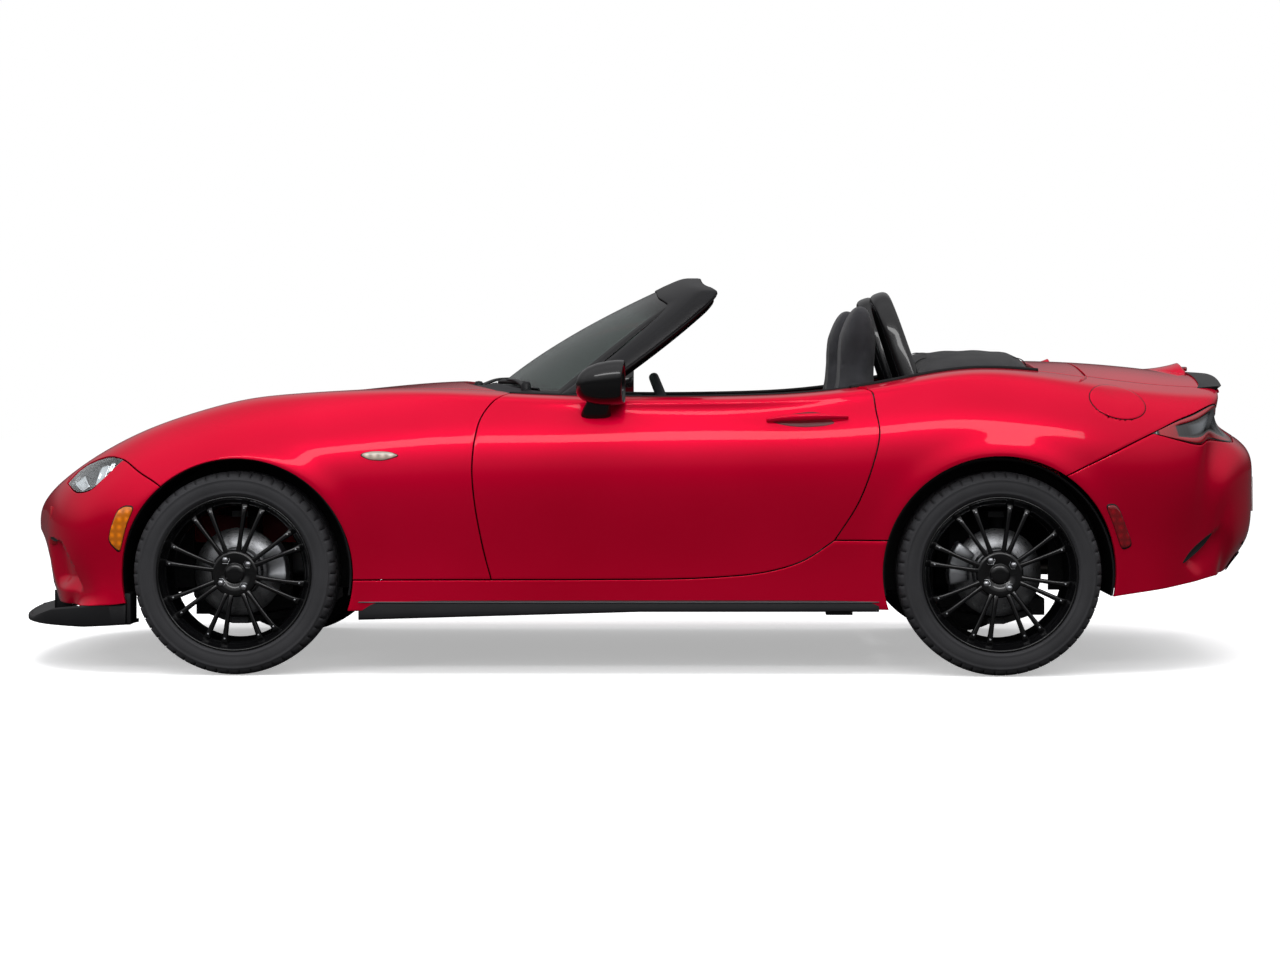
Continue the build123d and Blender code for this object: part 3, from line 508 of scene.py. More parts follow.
def sheet_panel(name, patches, material, depth=0.012, sides=(1, -1), roll=0.0014,
                relief=None):
    """A panel from (u, v) grids: points from the skin, on the left (1), right (-1) or both
    sides, given a rim that faces inwards."""
    points, faces, start = [], [], 0
    for uv in patches:
        p = body(uv)
        if relief is not None:
            p = relief(uv, p)
        rows, cols = uv.shape[:2]
        for side_sign in sides:
            quads = grid_faces(rows, cols, start=start)
            points.append((p * (1, side_sign, 1)).reshape(-1, 3))
            faces.append(quads if side_sign * turn_of(p) > 0 else quads[:, ::-1])
            start += rows * cols
    piece = mesh_piece(name, np.concatenate(points), [np.concatenate(faces)], material)
    weld(piece, 0.0003, outward=False)
    thicken(piece, depth).use_even_offset = False
    roll_edges(piece, roll)
    return piece


def thicken(piece, depth, offset=-1.0):
    """Gives a sheet a thickness in metres, behind its face or (0) on both sides of it."""
    rim = piece.modifiers.new("rim", "SOLIDIFY")
    rim.thickness, rim.offset = depth, offset
    return rim


def soften(piece):
    """Halves every face once, so that a coarse form turns smooth."""
    smooth = piece.modifiers.new("smooth", "SUBSURF")
    smooth.levels = smooth.render_levels = 1


def roll_edges(piece, width, segments=2, angle=50):
    """Rounds every edge sharper than an angle."""
    bevel = piece.modifiers.new("roll", "BEVEL")
    bevel.width, bevel.segments = width, segments
    bevel.limit_method, bevel.angle_limit = "ANGLE", math.radians(angle)
    return piece


def side(*pairs):
    return [("side", x, z) for x, z in pairs]


def plan(*pairs):
    return [("plan", x, -y) for x, y in pairs]


def front(*pairs):
    return [("front", -y, z) for y, z in pairs]


def back(*pairs):
    return [("back", -y, z) for y, z in pairs]


# %% The shut lines, in millimetres
SPLIT_ANGLE, ARCH_FOOT, SILL_FOOT = 130.8, 195.0, -18.0
FENDER_FOOT, QUARTER_FOOT, QUARTER_SILL, QUARTER_SPLIT = -2.6, 198.5, 163.9, 56.2
LAMP_REAR, LAMP_FRONT = side((-1559, 650))[0], side((-1764, 572))[0]
LAMP_TOP = [LAMP_FRONT, *side((-1712, 622), (-1630, 655)), LAMP_REAR]
LAMP_LOW = [LAMP_FRONT, *side((-1705, 548), (-1668, 555), (-1612, 600)), LAMP_REAR]
HOOD_CORNER = plan((-1746, 452))[0]
HOOD_SIDE = [HOOD_CORNER, *plan((-1700, 482), (-1559, 529), (-1211, 585), (-800, 622)),
             plan((-428, 640))[0]]
HOOD_FRONT = [HOOD_CORNER, *plan((-1806, 330), (-1848, 165), (-1860, 0))]
HOOD_REAR = plan((-428, 640), (-505, 450), (-556, 230), (-575, 0))
DOOR_TOP_FRONT, DOOR_TOP_REAR = plan((-386, 706))[0], plan((655, 706))[0]
DOOR_TOP = [DOOR_TOP_FRONT, *plan((-100, 706), (200, 706), (450, 706)), DOOR_TOP_REAR]
DOOR_FRONT = [DOOR_TOP_FRONT, *plan((-400, 752)),
              *side((-443, 815), (-470, 772), (-488, 690), (-492, 610), (-484, 520),
                    (-463, 400), (-435, 289))]
DOOR_SILL = side((-435, 289), (-106, 290), (256, 298), (376, 310), (496, 343), (601, 410))
DOOR_REAR = [side((601, 410))[0], *side((676, 532), (715, 637), (736, 735), (727, 795)),
             *plan((690, 775), (668, 742)), DOOR_TOP_REAR]
BOOT_CORNER, LIP_CORNER = plan((1392, 578))[0], ("uv", 23.05, 5.42)
BOOT_SIDE = [BOOT_CORNER, *plan((1470, 573), (1600, 556), (1715, 520)), LIP_CORNER]
BOOT_END = [LIP_CORNER, *back((440, 800)), *back((424, 712))]
BOOT_BACK = [BOOT_END[-1], *back((210, 712), (0, 712))]
TAIL_TIP = side((1563, 732))[0]
TAIL_INNER_TOP, TAIL_INNER_LOW = back((440, 800))[0], back((424, 712))[0]
TAIL_TOP = [TAIL_TIP, *side((1640, 768), (1712, 796)), *back((560, 804)), TAIL_INNER_TOP]
TAIL_LOW = [TAIL_TIP, *side((1640, 712), (1730, 700)), *back((540, 700)), TAIL_INNER_LOW]

# %% Fenders, hood and door skins
def fender_patches():
    """The wing round its wheel, and the tongue that runs on over the headlamp."""
    corner = plan((-1559, 529))[0]
    cut = line([LAMP_REAR, *side((-1559, 688)), corner], 22)
    hood_run = line([corner, *HOOD_SIDE[3:]], 112)
    cowl_run = line([HOOD_SIDE[-1], *plan((-400, 672)), DOOR_TOP_FRONT], 9)
    door_run = line(DOOR_FRONT, 62)
    top = join(cut, hood_run, cowl_run, door_run)
    low = join(arch("front", SPLIT_ANGLE, 122, 22), arch("front", 122, 56, 112),
               arch("front", 56, 51, 9), arch("front", 51, FENDER_FOOT, 62))
    split = line([("side", -1433, 571.5), *side((-1500, 613)), LAMP_REAR], 44)
    foot = line([("side", -851.4, 289), *side((-640, 289)), DOOR_SILL[0]], 44)
    main = patch(low, top, split, foot, "top:22 left right")
    tongue = patch(line(LAMP_TOP[::-1], 24), line(HOOD_SIDE[2::-1], 24), cut,
                   line([LAMP_FRONT, HOOD_CORNER], 22), "bottom top right")
    tongue[:, 0] = main[-1, :22]
    return [main, tongue]


def hood_patch():
    ends = [on_skin([HOOD_FRONT[-1]])[0], on_skin([HOOD_REAR[-1]])[0]]
    centre = smooth_line([(u, 8.0) for u in np.linspace(ends[0][0], ends[1][0], 12)], 600)
    centre = evenly(centre, 140, body(centre))
    return patch(line(HOOD_SIDE, 140), centre, line(HOOD_FRONT, 56), line(HOOD_REAR, 56),
                 "bottom left right")


def door_patch():
    return patch(line(DOOR_SILL, 116), line(DOOR_TOP, 116), line(DOOR_FRONT[::-1], 70),
                 line(DOOR_REAR, 70), "bottom left right")


def bumper_patches():
    """The front face round its wide mouth: one flank, one band above and one below."""
    mouth_corner = front((500, 330))[0]
    mouth_top = [front((0, 420))[0], *front((200, 417), (360, 400), (450, 372)), mouth_corner]
    mouth_low = [front((0, 246))[0], *front((220, 246), (390, 256), (465, 284)), mouth_corner]
    corner_drop = line([mouth_corner, *front((560, 262)), ("uv", 0.0, 2.6)], 30)
    corner_rise = line([mouth_corner, *front((520, 420), (545, 500)), LAMP_FRONT], 34)
    nose_top = join(line(HOOD_FRONT[::-1], 60), line([HOOD_CORNER, LAMP_FRONT], 14))
    above = patch(line(mouth_top, 73), nose_top, line([mouth_top[0], HOOD_FRONT[-1]], 34),
                  corner_rise, "top")
    bottom = np.stack([np.zeros(73), np.linspace(8, 2.6, 73)], -1)
    below = patch(bottom, line(mouth_low, 73), line([("uv", 0.0, 8.0), mouth_low[0]], 30),
                  corner_drop[::-1], "")
    lamp_edge = join(line(LAMP_LOW, 30), line([LAMP_REAR, *side((-1500, 613)),
                                               ("side", -1433, 571.5)], 30))
    foot = join(line([("uv", 0.0, 2.6), ("uv", 0.0, 1.2), ("uv", 0.0, 0.0)], 20),
                line([("uv", 0.0, 0.0), ("uv", 2.4, 0.0), ("side", -1543, 215)], 40))
    foot[-1] = arch("front", ARCH_FOOT, ARCH_FOOT, 1)[0]
    rise = join(corner_drop[::-1], corner_rise)
    flank = patch(foot, lamp_edge, rise, arch("front", ARCH_FOOT, SPLIT_ANGLE, 63), "top")
    return [above, below, flank]


def sill_patch():
    top = join(line([("side", -851.4, 289), DOOR_SILL[0]], 42), line(DOOR_SILL, 106),
               line([DOOR_SILL[-1], ("side", 759.4, 410)], 18))
    low = line([("side", -868, 196), *side((-400, 199), (100, 206), (500, 205)),
                ("side", 763.6, 200)], 164)
    front_end = arch("front", SILL_FOOT, FENDER_FOOT, 14)
    rear_end = arch("rear", QUARTER_FOOT, QUARTER_SILL, 14)
    low[0], low[-1] = front_end[0], rear_end[0]
    return patch(low, top, front_end, rear_end, "top")


def quarter_patches():
    """The rear haunch round its wheel, and the tongue that runs back over the tail lamp."""
    top_corner = BOOT_SIDE[2]
    cut = line([TAIL_TIP, *side((1566, 800)), top_corner], 24)
    deck_run = join(line([top_corner, BOOT_SIDE[1], BOOT_CORNER], 22),
                    line([BOOT_CORNER, *plan((1388, 604))], 5),
                    line([plan((1388, 604))[0], *plan((1240, 612))], 16))
    cabin_run = line([plan((1240, 612))[0], *plan((1100, 640), (900, 672), (760, 696)),
                      DOOR_TOP_REAR], 58)
    door_run = line(DOOR_REAR[::-1], 62)
    top = join(cut, deck_run, cabin_run, door_run)
    spans = (len(cut), len(deck_run), len(cabin_run), len(door_run))
    angles = (QUARTER_SPLIT, 66, 78, 116, QUARTER_SILL)
    low = join(*[arch("rear", a, b, n) for a, b, n in zip(angles[:-1], angles[1:], spans)])
    split = line([("side", 1294.9, 605.3), *side((1430, 669)), TAIL_TIP], 44)
    foot = line([("side", 759.4, 410), DOOR_SILL[-1]], 44)
    main = patch(low, top, split, foot, f"top:{len(cut)} left right")
    tongue = patch(line(TAIL_TOP, 40), line(BOOT_SIDE[2:], 40), cut,
                   line(BOOT_END[1::-1], 24), "bottom top right")
    tongue[:, 0] = main[-1, : len(cut)]
    return [main[:, ::-1], tongue]


def boot_patch():
    ends = on_skin([plan((1392, 0))[0], back((0, 712))[0]])
    centre = centre_line(ends[0][0], ends[1][0], 400, 90)
    outer = join(line(BOOT_SIDE, 66), line(BOOT_END, 25))
    front_edge = line([BOOT_CORNER, *plan((1392, 300)), plan((1392, 0))[0]], 52)
    return patch(outer, centre, front_edge, line(BOOT_BACK, 52), "bottom left right")


def rear_bumper_patch():
    top = join(line([("side", 1294.9, 605.3), *side((1430, 669)), TAIL_TIP], 40),
               line(TAIL_LOW, 48), line(BOOT_BACK, 42))
    foot = join(line([("side", 1443, 240), ("uv", 24.0, 0.0), ("uv", U_MAX, 0.0)], 50),
                np.stack([np.full(79, U_MAX), np.linspace(0, 8, 79)], -1))
    arch_edge = arch("rear", -12.0, QUARTER_SPLIT, 52)
    foot[0] = arch_edge[0]
    return patch(foot, top, arch_edge, centre_line(U_MAX, top[-1][0], 200, 52), "top")


def deck_patch():
    low = line([*plan((1240, 612), (1388, 604))], 16)
    centre = line([*plan((1240, 0), (1388, 0))], 16)
    return patch(low, centre, line([*plan((1240, 612), (1240, 0))], 52),
                 line([*plan((1388, 604), (1388, 0))], 52), "bottom right")


# %% [markdown]
# The skin so far is one flowing form. A few places are pressed into it afterwards: a pocket
# at each front corner, sharp at its upper and rear edge and running out in a sloping
# shelf, and a hollow under the slanting slot at each rear corner. A third sinks the well
# under the fuel flap, on the left only. Each is a depth worked out from the point's own
# place, taken off along the skin's normal.


# %% Pressings
def step(value, start, width):
    """A smooth step from 0 to 1."""
    k = np.clip((value - start) / width, 0, 1)
    return k * k * (3 - 2 * k)


def press(uv, p, depth):
    """Points moved inwards by a depth in mm."""
    inward = normal(uv.reshape(-1, 2)).reshape(p.shape)
    return p - inward * depth[..., None] * MM


def corner_pocket(uv, p):
    x, y, z = np.moveaxis(p / MM, -1, 0)
    rear_edge = np.interp(z, (240, 313, 400), (-1683, -1718, -1769))
    depth = 38 * (step(rear_edge - x, 0, 14) * step(400 - z, 0, 10) * step(z, 238, 46)
                  * step(np.abs(y), 520, 90))
    return press(uv, p, depth)


def tail_hollow(uv, p):
    x, y, z = np.moveaxis(p / MM, -1, 0)
    below = (x - 1663) * 0.67 - (z - 331) * 0.74
    along = (x - 1663) * 0.74 + (z - 331) * 0.67
    depth = 15 * (step(below, 0, 9) * (1 - step(below, 9, 85)) * step(along, 0, 40)
                  * (1 - step(along, 120, 70)) * step(np.abs(y), 480, 90))
    return press(uv, p, depth)


FLAP_CENTRE, FLAP_TURN = np.array([1460.0, 825.5]), math.radians(-14)
FLAP_RX, FLAP_RZ = 90, 50


def flap_well(uv, p):
    x, y, z = np.moveaxis(p / MM, -1, 0)
    dx, dz = x - FLAP_CENTRE[0], z - FLAP_CENTRE[1]
    a = (dx * math.cos(FLAP_TURN) + dz * math.sin(FLAP_TURN)) / FLAP_RX
    b = (dz * math.cos(FLAP_TURN) - dx * math.sin(FLAP_TURN)) / FLAP_RZ
    return press(uv, p, 26 * step(0.93 - np.hypot(a, b), 0, 0.12) * (y < -500))


# %% Painted panels
pressed = {"front_bumper_skin": corner_pocket, "rear_bumper_skin": tail_hollow}
for name, patches, depth, body_name, node in (
    ("front_bumper_skin", bumper_patches(), 0.010, "chassis", "front_bumper"),
    ("front_fender_skins", fender_patches(), 0.010, "chassis", "front_fenders"),
    ("hood_skin", [hood_patch()], 0.014, "bonnet", "hood"),
    ("sill_skins", [sill_patch()], 0.010, "chassis", "sills"),
    ("boot_lid_skin", [boot_patch()], 0.012, "boot", "boot_lid"),
    ("rear_bumper_skin", [rear_bumper_patch()], 0.010, "chassis", "rear_bumper"),
    ("rear_deck_skin", [deck_patch()], 0.012, "chassis", "rear_deck"),
):
    panel = sheet_panel(name, patches, PAINT, depth=depth, relief=pressed.get(name))
    place(panel, body_name, "paint", node)
for hand, sides in (("left", (1,)), ("right", (-1,))):
    skin = sheet_panel(f"door_skin_{hand}", [door_patch()], PAINT, depth=0.012, sides=sides)
    place(skin, f"door_{hand}", "paint", f"door_{hand}")
for hand, sides, relief in (("left", (1,), flap_well), ("right", (-1,), None)):
    skin = sheet_panel(f"rear_quarter_{hand}", quarter_patches(), PAINT, depth=0.006,
                       sides=sides, relief=relief)
    place(skin, "chassis", "paint", "rear_quarters")

# %% [markdown]
# ## Turned, swept and lofted pieces
# Most other pieces are one of three things: a profile turned round an axis (tyre, rim,
# disc), a section swept along a line (hoop, spoke, tailpipe), or a few sections joined
# (mirror, seat). All three give rows of points, so they share one way of becoming a mesh:
# each grid is closed along its rows, its columns or neither, and may have end caps.


# %% Grids to solids
def gather(name, grids, material, smooth=True, roll=0.0, uv=None, outward=True):
    """One piece from grids (points, closure, caps); closure names the wrapped directions."""
    points, faces, start = [], [], 0
    for grid, closed, caps in grids:
        rows, cols = grid.shape[:2]
        faces.append(grid_faces(rows, cols, "r" in closed, "c" in closed, start))
        if caps:
            ring = np.arange(cols)[None] + start
            faces += [ring[:, ::-1], ring + (rows - 1) * cols]
        points.append(grid.reshape(-1, 3))
        start += rows * cols
    piece = mesh_piece(name, np.concatenate(points), faces, material, uv, smooth)
    weld(piece, 0.00005, outward)
    if roll:
        roll_edges(piece, roll, 2, 30)
    return piece


def lathe(profile, segments, start=0.0):
    """Points of a (radius, height) profile in mm turned round the local z axis."""
    profile = np.asarray(profile, float) * MM
    a = start + np.linspace(0, 2 * np.pi, segments, endpoint=False)
    r, h = profile[:, :1], profile[:, 1:]
    return np.stack([r * np.cos(a), r * np.sin(a), h + 0 * a], -1)


def sweep(path, section, up=(0, 0, 1), scale=None):
    """A closed section (k, 2) in mm carried along a path (n, 3) in mm."""
    path, section = np.asarray(path, float) * MM, np.asarray(section, float) * MM
    along = unit(np.gradient(path, axis=0))
    side_on = unit(np.cross(along, up))
    lift = np.cross(side_on, along)
    size = np.ones(len(path)) if scale is None else np.asarray(scale, float)
    return (path[:, None] + section[None, :, :1] * side_on[:, None] * size[:, None, None]
            + section[None, :, 1:] * lift[:, None] * size[:, None, None])


def oval(rx, ry, count=20, power=2.0):
    """A closed oval outline; a power above two makes it squarer."""
    a = np.linspace(0, 2 * np.pi, count, endpoint=False)
    c, s = np.cos(a), np.sin(a)
    grow = 2.0 / power
    return np.stack([rx * np.sign(c) * np.abs(c) ** grow,
                     ry * np.sign(s) * np.abs(s) ** grow], -1)


def brick(lo, hi):
    """A box from two corners in mm, as a closed and capped grid."""
    (x0, y0, z0), (x1, y1, z1) = np.array(lo) * MM, np.array(hi) * MM
    ring = [(x0, y0), (x1, y0), (x1, y1), (x0, y1)]
    return np.array([[(x, y, z) for x, y in ring] for z in (z0, z1)]), "c", True


def mirrored(grids):
    """The grids and their mirror images across the middle of the car."""
    return grids + [(g * (1, -1, 1), closed, caps) for g, closed, caps in grids]


def drape(uv, lift):
    """Points standing a height above the body's skin."""
    flat = uv.reshape(-1, 2)
    up = np.asarray(lift, float).reshape(-1, 1) if np.ndim(lift) else lift
    return (body(flat) + normal(flat) * up).reshape(*uv.shape[:-1], 3)


# %% [markdown]
# ## Finishes
# One material for each real finish: gloss black plastic, matt black plastic, rubber, cast
# and machined metal, glass, lamp lens, cloth. Each differs in what the light does with it
# rather than in colour only: rubber and plastic are rough insulators, metal reflects in
# its own colour, glass and lenses let light through. A little noise in roughness or
# colour keeps large surfaces from looking like one flat tone.

# %% Finishes
def plain(name, colour, roughness, metallic=0.0, grain=0.0, scale=400.0, vary=0.0, **more):
    """A finish with optional fine relief and a slow change of colour."""
    material, tree, shader = finish(name, colour, metallic, roughness, **more)
    if grain:
        bump(tree, shader, object_noise(tree, scale, 3.0).outputs[0], grain)
    if vary:
        slow = ramp(tree, object_noise(tree, 9.0, 4.0).outputs[0], 0.3, 0.7, 0.0, 1.0)
        light = tuple(min(1.0, c * (1 + vary)) for c in linear(colour)[:3]) + (1.0,)
        tree.links.new(mix(tree, slow.outputs[0], linear(colour), light),
                       shader.inputs["Base Color"])
    return material


GLOSS_BLACK = plain("gloss_black_lacquer", "060607", 0.25, Coat_Weight=0.7,
                    Coat_Roughness=0.04, Specular_IOR_Level=0.25)
MATT_BLACK = plain("moulded_black_plastic", "161618", 0.55, grain=0.00004, scale=900.0,
                   vary=0.3, Specular_IOR_Level=0.28)
SATIN_BLACK = plain("satin_black_trim", "0B0B0D", 0.36, grain=0.00002, scale=1200.0,
                    vary=0.3, Specular_IOR_Level=0.3)
RUBBER = plain("tyre_rubber", "2B2B2D", 0.66, grain=0.00005, scale=700.0, vary=0.35,
               Specular_IOR_Level=0.3)
SEAL = plain("rubber_seal", "0B0B0C", 0.6, grain=0.00003, scale=500.0, vary=0.3,
             Specular_IOR_Level=0.25)
STEEL = plain("bright_steel", "B9BBBE", 0.28, metallic=1.0)
ALLOY = plain("cast_aluminium", "A6A8AB", 0.45, metallic=1.0, grain=0.00012, scale=260.0,
              vary=0.1)
DARK_STEEL = plain("painted_chassis_steel", "1C1D1F", 0.6, grain=0.00008, scale=300.0,
                   vary=0.5)
PIPE_STEEL = plain("exhaust_steel", "8B8681", 0.38, metallic=1.0, grain=0.00006,
                   scale=200.0, vary=0.2)
CHROME = plain("reflector_chrome", "E4E6E8", 0.08, metallic=1.0)
VINYL = plain("black_grained_vinyl", "121215", 0.56, grain=0.00010, scale=750.0, vary=0.2,
              Specular_IOR_Level=0.3)
CARPET = plain("needled_carpet", "101012", 0.95, grain=0.0006, scale=1200.0)


def disc_iron():
    """Cast iron turned on a lathe and polished by the pads: rings of fine scoring."""
    material, tree, shader = finish("turned_brake_iron", "8E8F91", 1.0, 0.32)
    at = add(tree, "ShaderNodeUVMap")
    stretch = add(tree, "ShaderNodeMapping", in_Vector=at.outputs[0], in_Scale=(2, 240, 1))
    score = add(tree, "ShaderNodeTexNoise", in_Vector=stretch.outputs[0], in_Scale=3.0,
                in_Detail=3.0)
    level = ramp(tree, score.outputs[0], 0.3, 0.7, 0.22, 0.45)
    tree.links.new(level.outputs[0], shader.inputs["Roughness"])
    bump(tree, shader, score.outputs[0], 0.00008)
    return material


IRON = disc_iron()

# %% [markdown]
# ## Wheels
# A tyre is a rubber ring with a moulded tread. One profile is turned round the axle, and
# the radius is lowered where the tread has grooves: four run round the tyre, and short
# ones cross the shoulders once per pitch, with two columns of points on each groove
# floor. A displacement texture would need many more faces for the same sharp edges. The
# side wall gets a few raised rings and stays blank.

# %% Wheel places and tyres
WHEELS = {f"{axle}_{hand}": (x, sign * y, sign)
          for axle, x, y in (("front", -1.2115, 0.7475), ("rear", 1.0985, 0.7525))
          for hand, sign in (("left", -1), ("right", 1))}
HUB_HEIGHT = 0.308


def at_wheel(grid, tag):
    """Turns wheel coordinates (x, up, out of the car) into the car's."""
    x, y, sign = WHEELS[tag]
    return np.stack([grid[..., 0] + x, sign * grid[..., 2] + y,
                     -sign * grid[..., 1] + HUB_HEIGHT], -1)


# distance from the middle plane, radius, share of the cross groove's depth
TREAD = np.array([
    (84, 232, 0), (90, 234, 0), (94.5, 237.5, 0), (97, 241.5, 0), (98.7, 242.6, 0),
    (99.4, 246.2, 0), (99, 247.5, 0), (100.6, 254, 0), (101.6, 261, 0), (102, 268, 0),
    (101.6, 275, 0), (100.2, 281.5, 0), (101, 282.8, 0), (99.9, 286.6, 0), (98, 288, 0),
    (96.4, 291.6, 0), (95.2, 293.6, 0.7), (91.5, 298, 1), (86, 301.8, 1), (78, 304.6, 1),
    (68, 306.2, 1), (60.5, 306.8, 1), (58.8, 299.6, 0), (51.6, 299.6, 0),
    (50, 307.2, 0.6), (38, 307.6, 0.6), (26, 307.8, 0.6), (24.4, 300.4, 0),
    (17.4, 300.4, 0), (15.8, 307.9, 0), (0, 308, 0),
])
PITCHES = 54


def tyre_grid():
    rows = np.concatenate([TREAD, (TREAD * (-1, 1, 1))[-2::-1]])
    pitch = np.array([0.03, 0.055, 0.35, 0.65, 0.945, 0.97])
    at = (np.arange(PITCHES)[:, None] + pitch).reshape(-1)
    floor = np.tile([1, 0, 0, 0, 0, 1], PITCHES)
    twist = np.where(np.abs(rows[:, 0]) < 50.5, 0.34 * np.sin(rows[:, 0] / 32), 0.0)
    a = (at[None] + twist[:, None]) * 2 * np.pi / PITCHES
    r = rows[:, 1:2] - 5.5 * rows[:, 2:] * floor[None]
    return np.stack([r * np.cos(a), r * np.sin(a), rows[:, :1] + 0 * a], -1) * MM


for tag in WHEELS:
    tyre = gather(f"tyre_{tag}_tread", [(at_wheel(tyre_grid(), tag), "c", False)], RUBBER)
    place(tyre, f"wheel_{tag}", "tyre_rubber", f"tyre_{tag}")

# %% [markdown]
# The rim is cast and lacquered gloss black: a barrel with a rolled lip, and eight pairs of
# thin spokes that lean apart towards the lip. A spoke is a flat-topped bar whose section
# narrows at mid length; all sixteen are built as one array and turned into place. Four nuts
# and a bare cap hold the middle.

# %% Rims, discs and calipers
LIP = [(234, 91), (234, 94.5), (232.6, 95.8), (229.6, 95.8), (227.8, 94), (226, 88.5),
       (221.5, 81), (215.5, 74.5), (211, 67), (208, 50), (203, 30), (199.5, 0), (200, -40),
       (206, -62), (212, -84), (226, -89), (230, -95.6), (234, -95.6), (234, -91),
       (214, -80), (208, -50), (208, 30), (216, 64), (224, 84)]
HUB = [(0, 82.4), (16, 82.2), (25, 81), (28.6, 78.6), (29.4, 75), (33, 74.4), (36, 77.6),
       (60, 79.6), (66, 78.4), (70.5, 74), (72, 66), (72, 46), (36, 45)]
NUT = [(0, 87), (5, 86.6), (8.2, 84.6), (9.4, 83), (9.4, 76), (12.5, 75.6), (12.6, 78.4),
       (14.8, 78.8), (15, 74)]
SPOKE_LEAN = 7.5


def spokes():
    r = np.array([50, 62, 78, 100, 130, 160, 185, 200, 210, 218.0])
    top = np.array([70, 77, 80.5, 82.2, 83, 83.4, 83.2, 81.5, 78, 72.0])
    wide = np.array([9.5, 8.2, 7.0, 6.3, 6.0, 6.4, 7.2, 8.4, 10.5, 14.0])
    deep = np.array([22, 22, 22, 21, 20, 20, 21, 22, 24, 24.0])
    across = np.stack([-wide, -wide - 0.6, -wide + 1.1, -wide + 3.0, wide - 3.0, wide - 1.1,
                       wide + 0.6, wide], -1)
    high = np.stack([top - deep, top - 7, top - 1.6, top, top, top - 1.6, top - 7,
                     top - deep], -1)
    grids = []
    for k in range(16):
        turn = math.radians(29 + 45 * (k // 2))
        tilt = math.radians(SPOKE_LEAN if k % 2 else -SPOKE_LEAN)
        lean = tilt * (0.88 + 0.12 * (r - 58) / 149)
        a = turn + lean[:, None]
        x = r[:, None] * np.cos(a) - across * np.sin(a)
        y = r[:, None] * np.sin(a) + across * np.cos(a)
        grids.append((np.stack([x, y, high], -1) * MM, "c", True))
        tip = lathe([(0, 85.4), (2.2, 85.0), (3.4, 83.6), (3.6, 80)], 12)
        end = tilt + turn
        tip = tip + np.array([199 * math.cos(end), 199 * math.sin(end), 0]) * MM
        grids.append((tip, "c", False))
    return grids


ROTOR = [(133.4, -27), (134, -25), (134, -20), (128, -19.4), (128, -12.6), (134, -12),
         (134, -7), (133.4, -5), (78, -5), (75.6, -4), (75, -1), (75, 40), (72.6, 44.4),
         (68, 45), (46, 45), (46, 38), (66, 36), (66, -27)]
CALIPER = [(92, 3), (91, 12), (94, 18), (102, 20), (138, 20), (148, 17), (152, 10),
           (152, -54), (148, -61), (140, -64), (98, -64), (92, -60), (91, -50), (92, -36),
           (138, -36), (138, 3)]


def caliper_grid(turn):
    a = np.radians(np.array([-27, -26.2, -24, -14, -12.5, 0, 12.5, 14, 24, 26.2, 27]))
    shrink = np.array([0.86, 0.95, 1, 1, 0.975, 0.975, 0.975, 1, 1, 0.95, 0.86])
    profile = np.array(CALIPER, float)
    middle = np.array([121.0, -16.0])
    shape = middle + (profile - middle) * shrink[:, None, None]
    a = (a + math.radians(turn))[:, None]
    return np.stack([shape[..., 0] * np.cos(a), shape[..., 0] * np.sin(a), shape[..., 1]],
                    -1) * MM


for tag, (x, y, sign) in WHEELS.items():
    nuts = []
    for k in range(4):
        spot = np.array([50 * math.cos(0.6 + k * math.pi / 2),
                         50 * math.sin(0.6 + k * math.pi / 2), 0]) * MM
        nuts.append((at_wheel(lathe(NUT, 6) + spot, tag), "c", False))
    barrel = [(at_wheel(lathe(LIP, 120), tag), "rc", False),
              (at_wheel(lathe(HUB, 48), tag), "c", False)]
    bars = [(at_wheel(g, tag), closed, caps) for g, closed, caps in spokes()]
    rim = gather(f"rim_{tag}_cast", barrel + bars[0::2], GLOSS_BLACK)
    place(rim, f"wheel_{tag}", "rim_paint", f"rim_{tag}")
    bolts = gather(f"rim_{tag}_fixings", nuts + bars[1::2], STEEL)
    place(bolts, f"wheel_{tag}", "rim_paint")
    rotor = lathe(ROTOR, 96)
    turn_uv = np.stack(np.broadcast_arrays(
        np.linspace(0, 6, 96)[None], np.linalg.norm(rotor[..., :2], axis=-1)), -1)
    disc = gather(f"disc_{tag}_turned", [(at_wheel(rotor, tag), "rc", False)], IRON,
                  uv=turn_uv)
    place(disc, f"wheel_{tag}", "brake_iron", f"disc_{tag}")
    axle, hand = tag.split("_")
    turn = {"front_left": 12, "rear_left": 168, "front_right": -12, "rear_right": 192}[tag]
    grip = caliper_grid(turn)
    hub_core = lathe([(0, 30), (44, 30), (44, -95), (0, -95)], 40)
    stub = lathe([(0, 66), (30, 66), (32, 62), (32, 30)], 32)
    near, far = sorted((sign * (abs(y) * 1000 - 70), sign * (abs(y) * 1000 - 40)))
    upright = brick((x * 1000 - 34, near, 190), (x * 1000 + 34, far, 425))
    carrier = "chassis" if axle == "rear" else f"knuckle_{hand}"
    knuckle = gather(f"knuckle_{tag}_cast", [
        (at_wheel(grip, tag), "c", True), (at_wheel(hub_core, tag), "c", False),
        (at_wheel(stub, tag), "c", False), upright], ALLOY, roll=0.002)
    place(knuckle, carrier, "cast_alloy", f"knuckle_{tag}")

# %% [markdown]
# ## Windscreen
# The screen is one sheet of glass, bowed across and leaning back, held in a black frame
# whose posts and header follow its edge. Every point of it is a height, a place across
# and a depth behind the glass face, so one function of those three serves frame, glass
# and seals. The frame is a closed section carried along the outline; its rear side steps
# down three times, where the rubber seals of door glass and top lie.

